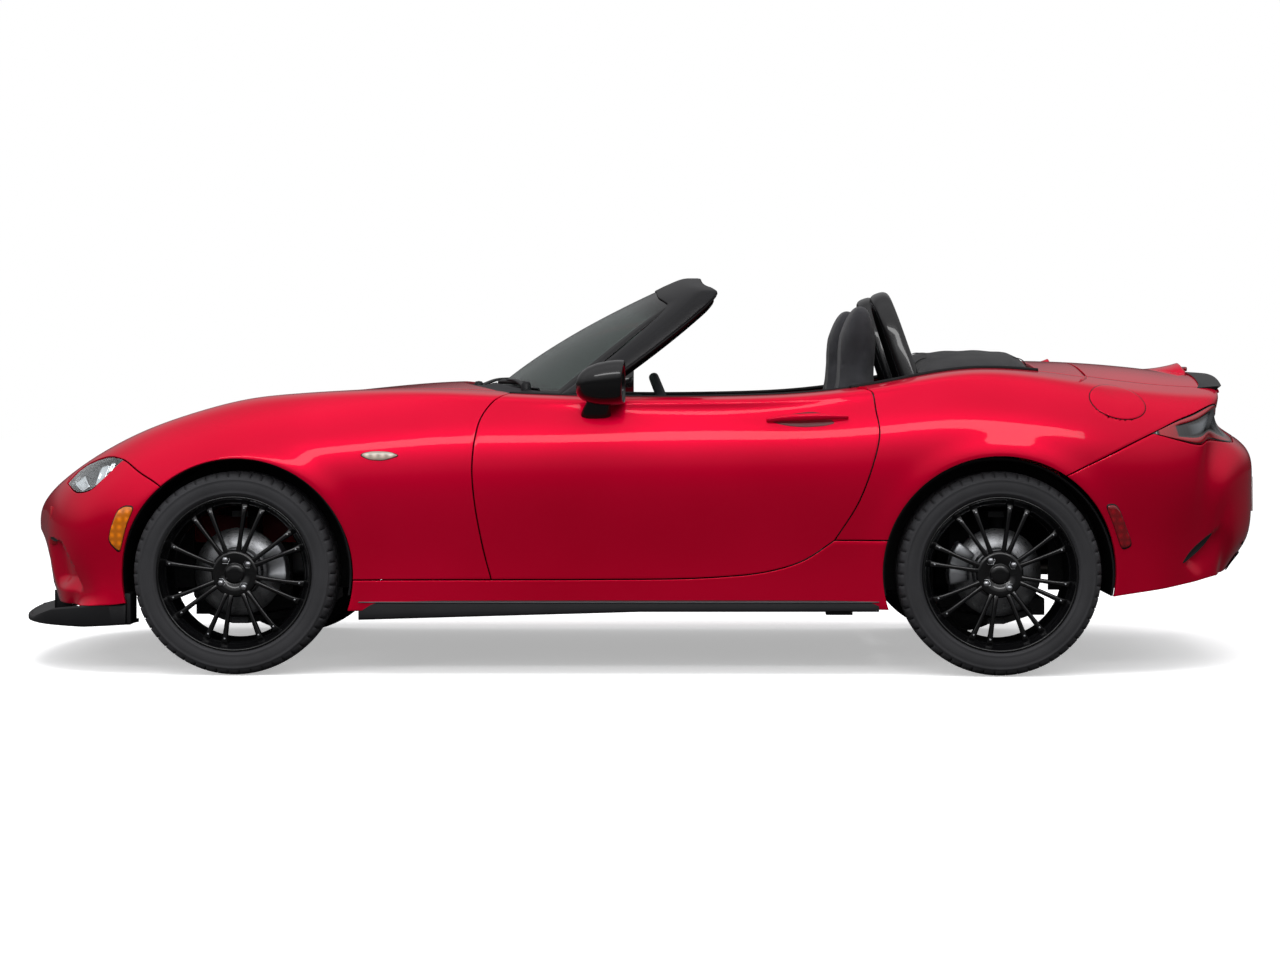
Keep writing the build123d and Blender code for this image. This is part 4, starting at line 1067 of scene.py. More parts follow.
# %% Windscreen
SCREEN = np.array([(820, -533, -222, 676), (1060, -196, 80, 566), (1240, 178, 262, 474)])
MIDDLE_X, POST_X, POST_Y = (np.polyfit(SCREEN[:, 0], SCREEN[:, k], 2) for k in (1, 2, 3))


def on_screen(y, z, depth):
    """Points in metres from y and z in mm and the depth behind the face, along x."""
    middle, post, half = (np.polyval(c, z) for c in (MIDDLE_X, POST_X, POST_Y))
    x = middle + (post - middle) * (y / half) ** 2 + depth
    return np.stack(np.broadcast_arrays(x, y, z), -1) * MM


def over_the_top(points, count):
    """A line up the left post, over the header and down the right post."""
    half = smooth_line(points, count)
    return np.concatenate([half, half[-2::-1] * (-1, 1)])


RIM_OUT = over_the_top([(-648, 846), (-598, 985), (-556, 1097), (-538, 1140), (-515, 1166),
                        (-470, 1180), (-400, 1191), (-200, 1217), (0, 1226)], 60)
RIM_IN = over_the_top([(-604, 840), (-556, 966), (-503, 1060), (-470, 1108), (-446, 1126),
                       (-408, 1136), (-330, 1150), (-180, 1173), (0, 1181)], 60)
# share of the way from the outer to the inner edge, depth behind the face
FRAME_SECTION = np.array([
    (0.00, 16), (0.03, 8), (0.10, 3), (0.25, 0.5), (0.60, 0), (0.90, 3), (0.98, 8),
    (1.00, 17), (1.00, 36), (0.97, 44), (0.86, 46), (0.84, 54), (0.80, 56), (0.62, 56),
    (0.60, 61), (0.56, 62.5), (0.40, 62.5), (0.38, 65), (0.34, 66), (0.16, 66), (0.08, 64),
    (0.03, 58), (0.00, 48)])


def frame_grid(outer, inner, section):
    share, depth = section[:, 0], section[:, 1]
    at = outer[:, None] * (1 - share)[:, None] + inner[:, None] * share[:, None]
    return on_screen(at[..., 0], at[..., 1], depth[None] + 0 * at[..., 0])


frame_rim = gather("windscreen_frame_rim", [
    (frame_grid(RIM_OUT, RIM_IN, FRAME_SECTION), "c", True)], SATIN_BLACK)
place(frame_rim, "chassis", "gloss_black", "windscreen_frame")
seals = []
for share, depth, radius in ((0.12, 67.0, 4.5), (0.50, 64.0, 4.0), (0.74, 58.5, 4.0)):
    middle = RIM_OUT * (1 - share) + RIM_IN * share
    route = on_screen(middle[:, 0], middle[:, 1], depth) / MM
    seals.append((sweep(route, oval(radius, radius, 10), up=(-0.6, 0, 0.8)), "c", True))
place(gather("windscreen_seals", seals, SEAL), "chassis", "black_plastic")


def screen_glass():
    """Tinted laminated glass with a black ceramic border and a darker band at the top."""
    material, tree, shader = finish("windscreen_glass", "66736F", roughness=0.0,
                                    Transmission_Weight=1.0, IOR=1.46)
    at = add(tree, "ShaderNodeUVMap")
    split = add(tree, "ShaderNodeSeparateXYZ", in_0=at.outputs[0])
    across = add(tree, "ShaderNodeMath", operation="PINGPONG", in_0=split.outputs[0], in_1=0.5)
    along = add(tree, "ShaderNodeMath", operation="PINGPONG", in_0=split.outputs[1], in_1=0.5)
    edge = add(tree, "ShaderNodeMath", operation="MINIMUM",
               in_0=ramp(tree, across.outputs[0], 0.030, 0.034, 0, 1).outputs[0],
               in_1=ramp(tree, along.outputs[0], 0.060, 0.066, 0, 1).outputs[0])
    band = ramp(tree, split.outputs[1], 0.80, 0.93, 1.0, 0.0)
    tint = mix(tree, band.outputs[0], linear("1C2A27"), linear("66736F"))
    tree.links.new(mix(tree, edge.outputs[0], linear("060607"), tint),
                   shader.inputs["Base Color"])
    tree.links.new(edge.outputs[0], shader.inputs["Transmission Weight"])
    return material


k, t = np.linspace(-1, 1, 61)[None], np.linspace(0, 1, 41)[:, None]
low_y, low_z = 604 * k, 846 - 8 * np.abs(k)
top_y, top_z = 452 * k, 1190 - 61 * k**2
glass_y, glass_z = low_y + (top_y - low_y) * t, low_z + (top_z - low_z) * t
glass_uv = np.stack(np.broadcast_arrays((k + 1) / 2, t), -1)
pane = gather("windscreen_pane", [(on_screen(glass_y, glass_z, 19.0), "", False)],
              screen_glass(), uv=glass_uv, outward=False)
thicken(pane, 0.0048, 0.0)
place(pane, "chassis", "glass", "windscreen")

# %% [markdown]
# Under the foot of the glass lies the scuttle, a black moulded tray with a louvred grille
# that the wiper arms stand on. It is a strip of the body's own skin, sunk a little, so it
# meets the bonnet; the louvres are ribs across it. A wiper is an arm, a bridge and a
# rubber blade, each a bar carried along a line that lies on the glass.

# %% Scuttle and wipers
scuttle_front = line([*plan((-428, 633), (-512, 450), (-563, 230), (-581, 0))], 70)
scuttle_rear = line([*plan((-120, 660), (-290, 560), (-380, 430), (-445, 230), (-470, 0))], 70)
t = np.linspace(0, 1, 25)[:, None, None]
scuttle_uv = scuttle_front[None] * (1 - t) + scuttle_rear[None] * t
dip = -0.006 - 0.010 * np.sin(np.pi * t[..., 0]) ** 0.7 + 0 * scuttle_uv[..., 0]
louvre = 0.0022 * np.maximum(0, np.sin(t[..., 0] * np.pi * 14)) * (t[..., 0] > 0.15)
scuttle = drape(scuttle_uv, dip + louvre)
tray = gather("scuttle_tray", mirrored([(scuttle, "", False)]), MATT_BLACK, outward=False)
thicken(tray, 0.003)
place(tray, "chassis", "black_plastic", "cowl")

wipers = []
for pivot_y, tip_y, lay in ((-470, 40, 862), (-60, 430, 866)):
    y = np.linspace(pivot_y, tip_y, 24)
    blade = on_screen(y, lay + 10 * np.sin(np.linspace(0.2, 2.6, 24)), 9.0) / MM
    wipers.append((sweep(blade, oval(5, 4, 8), (0, 0, 1)), "c", True))
    bridge = on_screen(y[4:-4], lay + 13 + 10 * np.sin(np.linspace(0.6, 2.2, 16)), 1.0) / MM
    wipers.append((sweep(bridge, oval(4, 7, 8), (0, 0, 1)), "c", True))
    root = on_screen(pivot_y - 20, 868, -48.0) / MM
    middle = on_screen((pivot_y + tip_y) / 2, lay + 30, -6.0) / MM
    arm = smooth_line([root, (root + middle) / 2 + (0, 0, 9), middle], 14)
    taper = np.linspace(1.3, 0.7, 14)
    wipers.append((sweep(arm, oval(8, 5, 10), (0, 0, 1), taper), "c", True))
    knob = lathe([(0, 20), (11, 18), (15, 10), (16, -14)], 20) + root * MM
    wipers.append((knob, "c", False))
place(gather("wiper_arms", wipers, SATIN_BLACK), "chassis", "black_plastic")

# %% [markdown]
# ## Door mirrors
# A mirror is a hollow egg on a short foot. The head is a row of ovals from the blunt nose
# to the open rear rim, where the last rings turn inwards and hold the glass; the foot is
# an oval bar that widens on to the door. The shell is gloss black; the glass is a plain
# mirror that sits back from the rim.

# %% Mirrors
# x, centre y and z, half width, half height
HEAD = np.array([
    (-176, -872, 872, 3, 3), (-174, -872, 873, 24, 17), (-168, -872, 875, 43, 31),
    (-156, -872, 877, 60, 44), (-138, -872, 879, 73, 54), (-112, -871, 881, 82, 62),
    (-84, -870, 883, 86, 66), (-60, -869, 885, 87, 67), (-44, -868, 886, 86.5, 66.5),
    (-34, -868, 887, 84.5, 64.5), (-30.5, -868, 887, 82, 62), (-32, -868, 887, 79, 59),
    (-44, -868, 887, 77.5, 57.5)])


def mirror_head(rows, count=44):
    ring = oval(1, 1, count, 2.5)
    y = rows[:, 1:2] + rows[:, 3:4] * ring[None, :, 0]
    z = rows[:, 2:3] + rows[:, 4:5] * ring[None, :, 1] - 0.10 * (y + 870)
    x = rows[:, :1] + 0.06 * (z - 886) + 0.10 * (y + 870)
    return np.stack([np.clip(x, -177, -30), np.clip(y, -958.5, None), z], -1) * MM


FOOT = smooth_line([(-118, -778, 766), (-118, -800, 786), (-112, -824, 812),
                    (-104, -846, 838)], 12)
for hand, flip in (("left", 1), ("right", -1)):
    turn = (1, flip, 1)
    shell = mirror_head(HEAD) * turn
    foot = sweep(FOOT, oval(12, 42, 24, 2.6), (1, 0, 0), np.linspace(1.25, 0.8, 12)) * turn
    head = gather(f"mirror_{hand}_shell", [(shell, "c", False), (foot, "c", True)],
                  GLOSS_BLACK)
    place(head, f"door_{hand}", "gloss_black", f"mirror_{hand}")
    disc = mirror_head(np.array([(-45, -868, 887, 77.2, 57.2), (-44, -868, 887, 70, 51),
                                 (-43.8, -868, 887, 1, 1)])) * turn
    face = gather(f"mirror_{hand}_glass", [(disc, "c", True)],
                  plain(f"mirror_silver_{hand}", "C9CED2", 0.03, metallic=1.0))
    place(face, f"door_{hand}", "glass")

# %% [markdown]
# ## Cabin
# The roll hoops behind the seats are bent tube under a glossy black cover, wider at the
# foot than at the crown. Each is one closed outline, tall and open in the middle, carried
# as a flattened oval section; the open middle is closed low down by a padded panel.

# %% Roll hoops
HOOP_ORIGIN, HOOP_UP = np.array([892.0, 0, 780]), np.array([-0.32, 0, 0.947])


def hoop_path(centre):
    """Up one leg, over the crown and down the other, in mm."""
    flat = [(-166, 10), (-158, 120), (-140, 235), (-118, 320), (-84, 365), (-40, 384),
            (0, 388)]
    half = smooth_line(flat, 28)
    both = np.concatenate([half, half[-2::-1] * (-1, 1)])
    return HOOP_ORIGIN + both[:, :1] * (0, 1, 0) + both[:, 1:] * HOOP_UP + (0, centre, 0)


hoops = [(sweep(hoop_path(c), oval(21, 30, 28, 2.6), (0.947, 0, 0.32)), "c", True)
         for c in (-350, 350)]
hoop_set = gather("roll_hoop_covers", hoops, GLOSS_BLACK)
place(hoop_set, "chassis", "gloss_black", "roll_hoops")
boards = []
for c in (-350, 350):
    ring = oval(118, 92, 40, 4.0)
    flat = HOOP_ORIGIN + ring[:, :1] * (0, 1, 0) + (ring[:, 1:] + 104) * HOOP_UP + (0, c, 0)
    boards.append((np.stack([flat - (7, 0, 2), flat + (7, 0, 2)]) * MM, "c", True))
place(gather("roll_hoop_boards", boards, VINYL, roll=0.003), "chassis", "trim_vinyl")

# %% [markdown]
# ### Seats
# The seats are foam under a knitted black cloth. Each cushion is a closed form: a block
# of points whose outline is a rounded rectangle, crowned in the middle and raised along
# the two side bolsters. The seams between bolster and middle are narrow grooves in that
# form. A cloth simulation then lets the cover swell against the foam; the groove is
# sharpened after it, because the voxel remesh would rub it out.

# %% Seat cloth
def knitted_cloth(name, colour, light):
    """Fine knit: two crossed waves about 1.3 mm apart, under a soft sheen."""
    material, tree, shader = finish(name, colour, 0.0, 0.92, Sheen_Weight=0.12,
                                    Sheen_Roughness=0.5, Specular_IOR_Level=0.2)
    at = add(tree, "ShaderNodeTexCoord")
    knit = []
    for turn in (0.7, -0.7):
        held = add(tree, "ShaderNodeMapping", in_Vector=at.outputs["Object"],
                   in_Rotation=(0.5, turn, turn))
        knit.append(add(tree, "ShaderNodeTexWave", in_Vector=held.outputs[0], in_Scale=240.0,
                        in_Distortion=1.5, in_Detail=1.0))
    weave = add(tree, "ShaderNodeMath", operation="MULTIPLY", in_0=knit[0].outputs["Fac"],
                in_1=knit[1].outputs["Fac"])
    worn = ramp(tree, object_noise(tree, 14.0, 4.0).outputs[0], 0.35, 0.7, 0.0, 0.5)
    tone = add(tree, "ShaderNodeMath", operation="MAXIMUM", in_0=weave.outputs[0],
               in_1=worn.outputs[0])
    tree.links.new(mix(tree, tone.outputs[0], linear(colour), linear(light)),
                   shader.inputs["Base Color"])
    bump(tree, shader, weave.outputs[0], 0.0006, 0.6)
    return material


SEAT_CLOTH = knitted_cloth("black_knit_seat_cloth", "1C1C1E", "38383C")
TOP_CLOTH = knitted_cloth("black_roof_cloth", "0C0C0E", "18181B")
CLOTH_FRAMES = 15


def cushion(rows, half, crown, bolster, count=56):
    """A closed pad. rows: centre line (x, z), forward normal (x, z), half width, half
    depth; crown and bolster raise the front side in the middle and along the sides."""
    ring = oval(1, 1, count, 4.2)
    across, depth = ring[:, 0], ring[:, 1]
    front = np.clip(depth, 0, 1)
    wide = rows[:, 4:5]
    lift = (crown * (1 - across**2) + bolster * np.exp(-((np.abs(across) - 0.78) / 0.17) ** 2)
            ) * front
    y = wide * across[None]
    out = rows[:, 5:6] * depth[None] + lift[None] * half[:, None]
    return np.stack([rows[:, :1] + rows[:, 2:3] * out, y,
                     rows[:, 1:2] + rows[:, 3:4] * out], -1) * MM


def vertex_rows(piece, key="co"):
    """A value of every vertex, such as its place, as rows of three."""
    values = np.empty(len(piece.data.vertices) * 3)
    piece.data.vertices.foreach_get(key, values)
    return values.reshape(-1, 3)


def swell(piece, voxel=0.007, pressure=3.0, cap=0.012):
    """Lets the cover swell like stuffed cloth, and keeps every point within a cap."""
    scene = bpy.context.scene
    remesh = piece.modifiers.new("remesh", "REMESH")
    remesh.mode, remesh.voxel_size = "VOXEL", voxel
    apply_modifier(piece)
    before = vertex_rows(piece)
    cloth = piece.modifiers.new("cloth", "CLOTH")
    cloth.settings.use_pressure, cloth.settings.uniform_pressure_force = True, pressure
    cloth.settings.effector_weights.gravity = 0
    for frame_number in range(1, CLOTH_FRAMES + 1):
        scene.frame_set(frame_number)
    apply_modifier(piece)
    scene.frame_set(1)
    moved = vertex_rows(piece) - before
    size = np.linalg.norm(moved, axis=1, keepdims=True)
    moved *= np.minimum(1, cap / np.maximum(size, 1e-9))
    piece.data.vertices.foreach_set("co", (before + moved).reshape(-1))
    piece.data.polygons.foreach_set("use_smooth", np.ones(len(piece.data.polygons), bool))
    return piece


def apply_modifier(piece):
    """Turns the piece's mesh into what its modifiers make of it."""
    graph = bpy.context.evaluated_depsgraph_get()
    mesh = bpy.data.meshes.new_from_object(piece.evaluated_get(graph))
    piece.modifiers.clear()
    piece.data = mesh


def stitched_groove(piece, side_share, centre_y, reach=0.004, depth=0.003):
    """Presses the seam between bolster and middle into a pad, across x and z."""
    co = vertex_rows(piece)
    near = np.exp(-((np.abs(co[:, 1] - centre_y) - side_share) / reach) ** 2)
    co -= vertex_rows(piece, "normal") * (near * depth)[:, None]
    piece.data.vertices.foreach_set("co", co.reshape(-1))


# %% Seats
# centre x and z, forward direction x and z, half width, half depth, share of the crown
BACK = np.array([
    (672, 352, -0.99, 0.15, 205, 30, 0.3), (676, 372, -0.99, 0.15, 222, 46, 0.7),
    (680, 430, -0.98, 0.20, 232, 52, 1.0), (684, 540, -0.98, 0.20, 236, 54, 1.0),
    (688, 650, -0.97, 0.24, 232, 52, 1.0), (690, 740, -0.97, 0.24, 218, 48, 0.9),
    (691, 810, -0.97, 0.24, 194, 44, 0.7), (692, 868, -0.97, 0.22, 160, 42, 0.4),
    (692, 925, -0.97, 0.22, 134, 42, 0.2), (694, 985, -0.97, 0.22, 128, 44, 0.1),
    (698, 1045, -0.97, 0.24, 124, 42, 0.0), (704, 1092, -0.96, 0.28, 112, 34, 0.0),
    (709, 1118, -0.95, 0.30, 92, 22, 0.0), (711, 1128, -0.95, 0.30, 66, 10, 0.0)])
BASE = np.array([
    (132, 330, 0, 1, 200, 14, 0.2), (150, 330, 0, 1, 226, 38, 0.5),
    (200, 326, 0, 1, 240, 52, 0.9), (300, 318, 0, 1, 244, 56, 1.0),
    (420, 308, 0, 1, 244, 54, 1.0), (520, 300, 0, 1, 240, 52, 0.9),
    (590, 296, 0, 1, 226, 48, 0.6), (622, 296, 0, 1, 190, 26, 0.2)])


for hand, y_seat in (("left", -370.0), ("right", 370.0)):
    for part_name, rows, crown, bolster, node in (
        ("back", BACK, 10.0, 30.0, "seat_backs"), ("cushion", BASE, 14.0, 26.0,
                                                     "seat_cushions")):
        fine = smooth_line(rows, 46)
        grid = cushion(fine, fine[:, 6], crown, bolster) + (0, y_seat * MM, 0)
        pad = gather(f"seat_{part_name}_{hand}", [(grid, "c", True)], SEAT_CLOTH)
        pad = swell(pad)
        stitched_groove(pad, 0.150 if part_name == "cushion" else 0.140, y_seat * MM)
        soften(pad)
        place(pad, "chassis", "seat_cloth", node)

# %% [markdown]
# ## Small pieces on the skin
# Marker lamps, the side repeater and the fuel flap are low domes whose outline is drawn in
# side view and laid on the body. An outline shrunk towards its middle in a few steps
# gives rings; each ring is looked up on the skin and lifted along the skin's normal, so
# the piece follows the body exactly. Corners are cut three times over, which rounds them.


# %% Domes on the skin
def rounded(points, rounds=3):
    """A closed outline with its corners cut again and again."""
    p = np.asarray(points, float)
    for _ in range(rounds):
        ahead = np.roll(p, -1, 0)
        p = np.stack([0.8 * p + 0.2 * ahead, 0.2 * p + 0.8 * ahead], 1).reshape(-1, 2)
    return p


def dome(outline, profile, view="side"):
    """Rings over an outline in mm; profile lists (share of the outline, lift in mm)."""
    middle = outline.mean(0)
    shares, lifts = np.array(profile, float).T
    at = middle + shares[:, None, None] * (outline - middle)
    flat = at.reshape(-1, 2)
    uv = on_skin([(view, a, b) for a, b in flat.tolist()]).reshape(*at.shape)
    return drape(uv, np.repeat(lifts * MM, len(outline)))


def lens(name, colour, clear=0.5, cell=260.0, relief=0.0006):
    """Coloured lens plastic with small moulded prisms inside."""
    material, tree, shader = finish(name, colour, 0.0, 0.12, Coat_Weight=1.0,
                                    Coat_Roughness=0.03, IOR=1.49)
    at = add(tree, "ShaderNodeTexCoord")
    prisms = [add(tree, "ShaderNodeTexWave", bands_direction=axis,
                  in_Vector=at.outputs["Object"], in_Scale=cell / 20)
              for axis in ("X", "Z")]
    both = add(tree, "ShaderNodeMath", operation="MULTIPLY",
               in_0=prisms[0].outputs["Fac"], in_1=prisms[1].outputs["Fac"])
    dark = tuple(c * 0.55 for c in linear(colour)[:3]) + (1.0,)
    tree.links.new(mix(tree, both.outputs[0], dark, linear(colour)),
                   shader.inputs["Base Color"])
    shader.inputs["Transmission Weight"].default_value = clear
    bump(tree, shader, both.outputs[0], relief)
    return material


LENS_PROFILE = [(1.0, -1.0), (1.0, 1.6), (0.96, 2.8), (0.8, 3.4), (0.5, 3.8), (0.0, 3.9)]
AMBER_OUTLINE = rounded([(-1513, 508), (-1541, 511), (-1566, 497), (-1588, 440),
                         (-1594, 405), (-1560, 372), (-1552, 398), (-1536, 458)])
RED_OUTLINE = rounded([(1414, 516), (1452, 516), (1478, 450), (1499, 396), (1470, 384),
                       (1460, 398), (1440, 458)])
REPEATER = rounded([(-826, 664), (-800, 652), (-760, 650), (-722, 661), (-716, 666),
                    (-740, 676), (-790, 678), (-820, 672)])
for piece_name, outline, material, slot_name in (
    ("front_marker_lenses", AMBER_OUTLINE, lens("amber_lens", "FF8A00", 0.15), "lamp_lens"),
    ("rear_marker_lenses", RED_OUTLINE, lens("red_reflector", "A60016", 0.2), "tail_lens"),
    ("side_repeaters", REPEATER, lens("clear_repeater", "E6DCC8", 0.3), "lamp_lens"),
):
    grid = dome(outline, LENS_PROFILE)
    place(gather(piece_name, mirrored([(grid, "c", False)]), material), "chassis", slot_name)
seat_rings = [dome(middle + (outline - middle) * 1.07,
                   [(1.0, -0.5), (1.0, 0.9), (0.9, 0.9), (0.85, -0.5)])
              for outline in (AMBER_OUTLINE, RED_OUTLINE, REPEATER)
              for middle in (outline.mean(0),)]
place(gather("marker_seats", mirrored([(g, "c", False) for g in seat_rings]), SATIN_BLACK),
      "chassis", "black_plastic")

# %% Fuel flap
ring = oval(FLAP_RX, FLAP_RZ, 72)
ring = np.stack([ring[:, 0] * math.cos(FLAP_TURN) - ring[:, 1] * math.sin(FLAP_TURN),
                 ring[:, 0] * math.sin(FLAP_TURN) + ring[:, 1] * math.cos(FLAP_TURN)], -1)
ring = ring + FLAP_CENTRE
inner = FLAP_CENTRE + (ring - FLAP_CENTRE) * 0.972
well = dome(ring, [(1.0, -0.4), (1.0, 0.35), (0.955, 0.2), (0.94, -2), (0.90, -22),
                   (0.5, -23), (0.0, -23)])
cap = dome(oval(27, 27, 32) + FLAP_CENTRE + (6, 0), [(1.0, -23), (1.0, -12), (0.93, -10),
                                                     (0.4, -9.5), (0.0, -9.5)])
grip_bar = dome(oval(22, 4, 24, 4.0) + FLAP_CENTRE + (6, 0), [(1.1, -10), (1.0, -5),
                                                              (0.8, -4), (0.0, -4)])
place(gather("fuel_well", [(well, "c", False), (cap, "c", False), (grip_bar, "c", False)],
             SATIN_BLACK), "chassis", "black_plastic")
flap = dome(inner, [(0.0, 0.8), (0.9, 0.8), (0.97, 0.5), (0.995, 0.8), (1.0, 1.4),
                    (0.99, 1.9), (0.9, 2.0), (0.6, 2.0), (0.0, 2.0)])
place(gather("fuel_flap_skin", [(flap, "c", False)], PAINT), "fuel_flap", "paint",
      "fuel_lid")

# %% [markdown]
# ## Lamps
# A headlamp is a clear cover that follows the body, over a deep black housing with bright
# reflectors in it. Cover, housing and reflectors are grids between the same two lines, the
# lamp's lower and upper edge, read at a share s along them and t between them; only their
# depth below the skin differs.


# %% Headlamps
def between(low, top):
    """A function of (s, t) that reads the area between two lines with shared ends."""
    low, top = line(low, 200), line(top, 200)
    knots = np.linspace(0, 1, 200)

    def read(s, t):
        s, t = np.broadcast_arrays(s, t)
        ends = [np.stack([np.interp(s, knots, edge[:, i]) for i in (0, 1)], -1)
                for edge in (low, top)]
        return ends[0] * (1 - t[..., None]) + ends[1] * t[..., None]
    return read


def quad_patch(read, corners, rows, cols):
    """A grid over four (s, t) corners, in order round the patch."""
    a, b, c, d = np.array(corners, float)
    s, t = np.linspace(0, 1, cols)[None, :, None], np.linspace(0, 1, rows)[:, None, None]
    st = a * (1 - s) * (1 - t) + b * s * (1 - t) + c * s * t + d * (1 - s) * t
    return read(st[..., 0], st[..., 1])


lamp = between(LAMP_LOW, LAMP_TOP)
s, t = np.linspace(0, 1, 48)[None], np.linspace(0, 1, 24)[:, None]
arched = np.sin(np.pi * s) ** 0.6 * np.sin(np.pi * t) ** 0.6
whole = lamp(s, t)
housing = drape(whole, -0.0045 - 0.040 * arched)
place(gather("headlamp_housings", mirrored([(housing, "", False)]),
             plain("headlamp_housing", "0B0C0E", 0.25, Coat_Weight=0.6), outward=False),
      "chassis", "black_plastic")
REFLECTORS = [
    ([(0.16, 0.30), (0.42, 0.10), (0.52, 0.20), (0.36, 0.62)], -0.011),
    ([(0.60, 0.14), (0.72, 0.12), (0.74, 0.70), (0.62, 0.74)], -0.012),
    ([(0.76, 0.30), (0.82, 0.30), (0.83, 0.72), (0.78, 0.74)], -0.010)]
bright = []
for corners, lift in REFLECTORS:
    patch_uv = quad_patch(lamp, corners, 10, 12)
    hollow = np.outer(np.sin(np.linspace(0, np.pi, 10)), np.sin(np.linspace(0, np.pi, 12)))
    bright.append((drape(patch_uv, lift - 0.008 * hollow), "", False))
shiny = gather("headlamp_reflectors", mirrored(bright), CHROME, outward=False)
thicken(shiny, 0.003)
place(shiny, "chassis", "lamp_lens")
CLEAR = plain("clear_lamp_cover", "F2F6F8", 0.0, Transmission_Weight=1.0, IOR=1.45)
cover = drape(whole, -0.0022 + 0.002 * arched)
glass = gather("headlamp_covers", mirrored([(cover, "", False)]), CLEAR, outward=False)
thicken(glass, 0.0016)
place(glass, "chassis", "lamp_lens", "headlamps")


# %% [markdown]
# A tail lamp is built in rings: a black outline, a red light guide that follows it, a black
# step, and a grey clear middle. Rings of one outline are a matter of colour, not of form,
# so they are painted by the lamp's own UV map; the step itself is a small relief.

# %% Tail lamps
def tail_lens():
    material, tree, shader = finish("tail_lamp_lens", "7A0010", 0.0, 0.10, Coat_Weight=1.0,
                                    Coat_Roughness=0.02)
    at = add(tree, "ShaderNodeUVMap")
    split = add(tree, "ShaderNodeSeparateXYZ", in_0=at.outputs[0])
    across = add(tree, "ShaderNodeMath", operation="PINGPONG", in_0=split.outputs[1],
                 in_1=0.5)
    tip = ramp(tree, split.outputs[0], 0.0, 0.42, 0.0, 0.5)
    root = ramp(tree, split.outputs[0], 1.0, 0.82, 0.0, 0.5)
    ends = add(tree, "ShaderNodeMath", operation="MINIMUM", in_0=tip.outputs[0],
               in_1=root.outputs[0])
    inside = add(tree, "ShaderNodeMath", operation="MINIMUM", in_0=across.outputs[0],
                 in_1=ends.outputs[0])
    rings = add(tree, "ShaderNodeValToRGB", in_0=inside.outputs[0])
    stops = rings.color_ramp.elements
    stops[0].position, stops[0].color = 0.05, linear("070506")
    stops[1].position, stops[1].color = 0.42, linear("5E6266")
    for spot, colour in ((0.065, "A00018"), (0.20, "8A0014"), (0.215, "0B0708"),
                         (0.31, "0E0A0B"), (0.34, "33373A")):
        stops.new(spot).color = linear(colour)
    tree.links.new(rings.outputs[0], shader.inputs["Base Color"])
    flutes = add(tree, "ShaderNodeTexWave", in_Vector=at.outputs[0], in_Scale=14.0)
    bump(tree, shader, flutes.outputs["Fac"], 0.0004)
    return material


tail = between(TAIL_LOW, TAIL_TOP)
s, t = np.linspace(0, 1, 64)[None], np.linspace(0, 1, 26)[:, None]
tail_uv = np.stack(np.broadcast_arrays(s, t), -1)
edge = np.minimum(np.minimum(t, 1 - t), np.minimum(s * 1.1, (1 - s) * 2.4))
lift = (-0.0035 + 0.0030 * np.clip(edge / 0.05, 0, 1)
        - 0.004 * np.clip((edge - 0.18) / 0.05, 0, 1))
tail_grid = drape(tail(s, t), lift)
tails = gather("tail_lamp_lenses", mirrored([(tail_grid, "", False)]), tail_lens(),
               uv=np.concatenate([tail_uv, tail_uv]), outward=False)
thicken(tails, 0.014)
place(tails, "chassis", "tail_lens", "tail_lamps")

# %% [markdown]
# ## Handles, waist strips and skirts
# The door handle is a painted grip over a bowl in the door. The bowl is a thin layer on
# the door skin, coloured a darker red than the paint as painted shade of the recess. The
# waist strip is the rubber blade the door glass slides against. The skirt under the sill
# is a black moulding with a thin lighter edge. All three are sections carried along a line.

# %% Door handles and waist strips
BOWL = rounded([(404, 770), (440, 757), (500, 750), (566, 753), (604, 762), (590, 775),
                (566, 792), (530, 798), (470, 790)])
# A thin layer just above the skin where the bowl lies; its colour below is painted shade.
bowl = dome(BOWL, [(1.0, 0.3), (0.98, 0.5), (0.7, 0.5), (0.0, 0.5)])
grip_line = line(side((398, 769), (440, 772), (520, 775), (590, 777), (641, 778)), 40)
ends = np.linspace(0, 1, 40)
rise = 0.004 + 0.017 * np.sin(np.pi * ends) ** 0.45
grip_path = drape(grip_line, rise) / MM
grip_size = 0.35 + 0.65 * np.sin(np.pi * np.clip(ends, 0.02, 0.98)) ** 0.5
grip = sweep(grip_path, oval(6, 10.5, 24, 2.4), (0, 0, 1), grip_size)
waist = body(line(DOOR_TOP, 70)) / MM + (0, 9.0, -1.0)
strip = sweep(waist, oval(9, 6, 16, 3.0), (0, 0, 1))
for hand, flip in (("left", 1), ("right", -1)):
    turn = (1, flip, 1)
    for part_name, grid, caps, material, slot_name in (
        # The bowl's dark red is painted shade of the recess under the grip; the real bowl has
        # the body paint.
        ("handle_bowl", bowl, False, plain(f"bowl_painted_shade_{hand}", "5A000E", 0.35), "paint"),
        ("handle_grip", grip, True, PAINT, "paint"),
        ("waist_strip", strip, True, SEAL, "black_plastic"),
    ):
        piece = gather(f"door_{part_name}_{hand}", [(grid * turn, "c", caps)], material)
        place(piece, f"door_{hand}", slot_name)

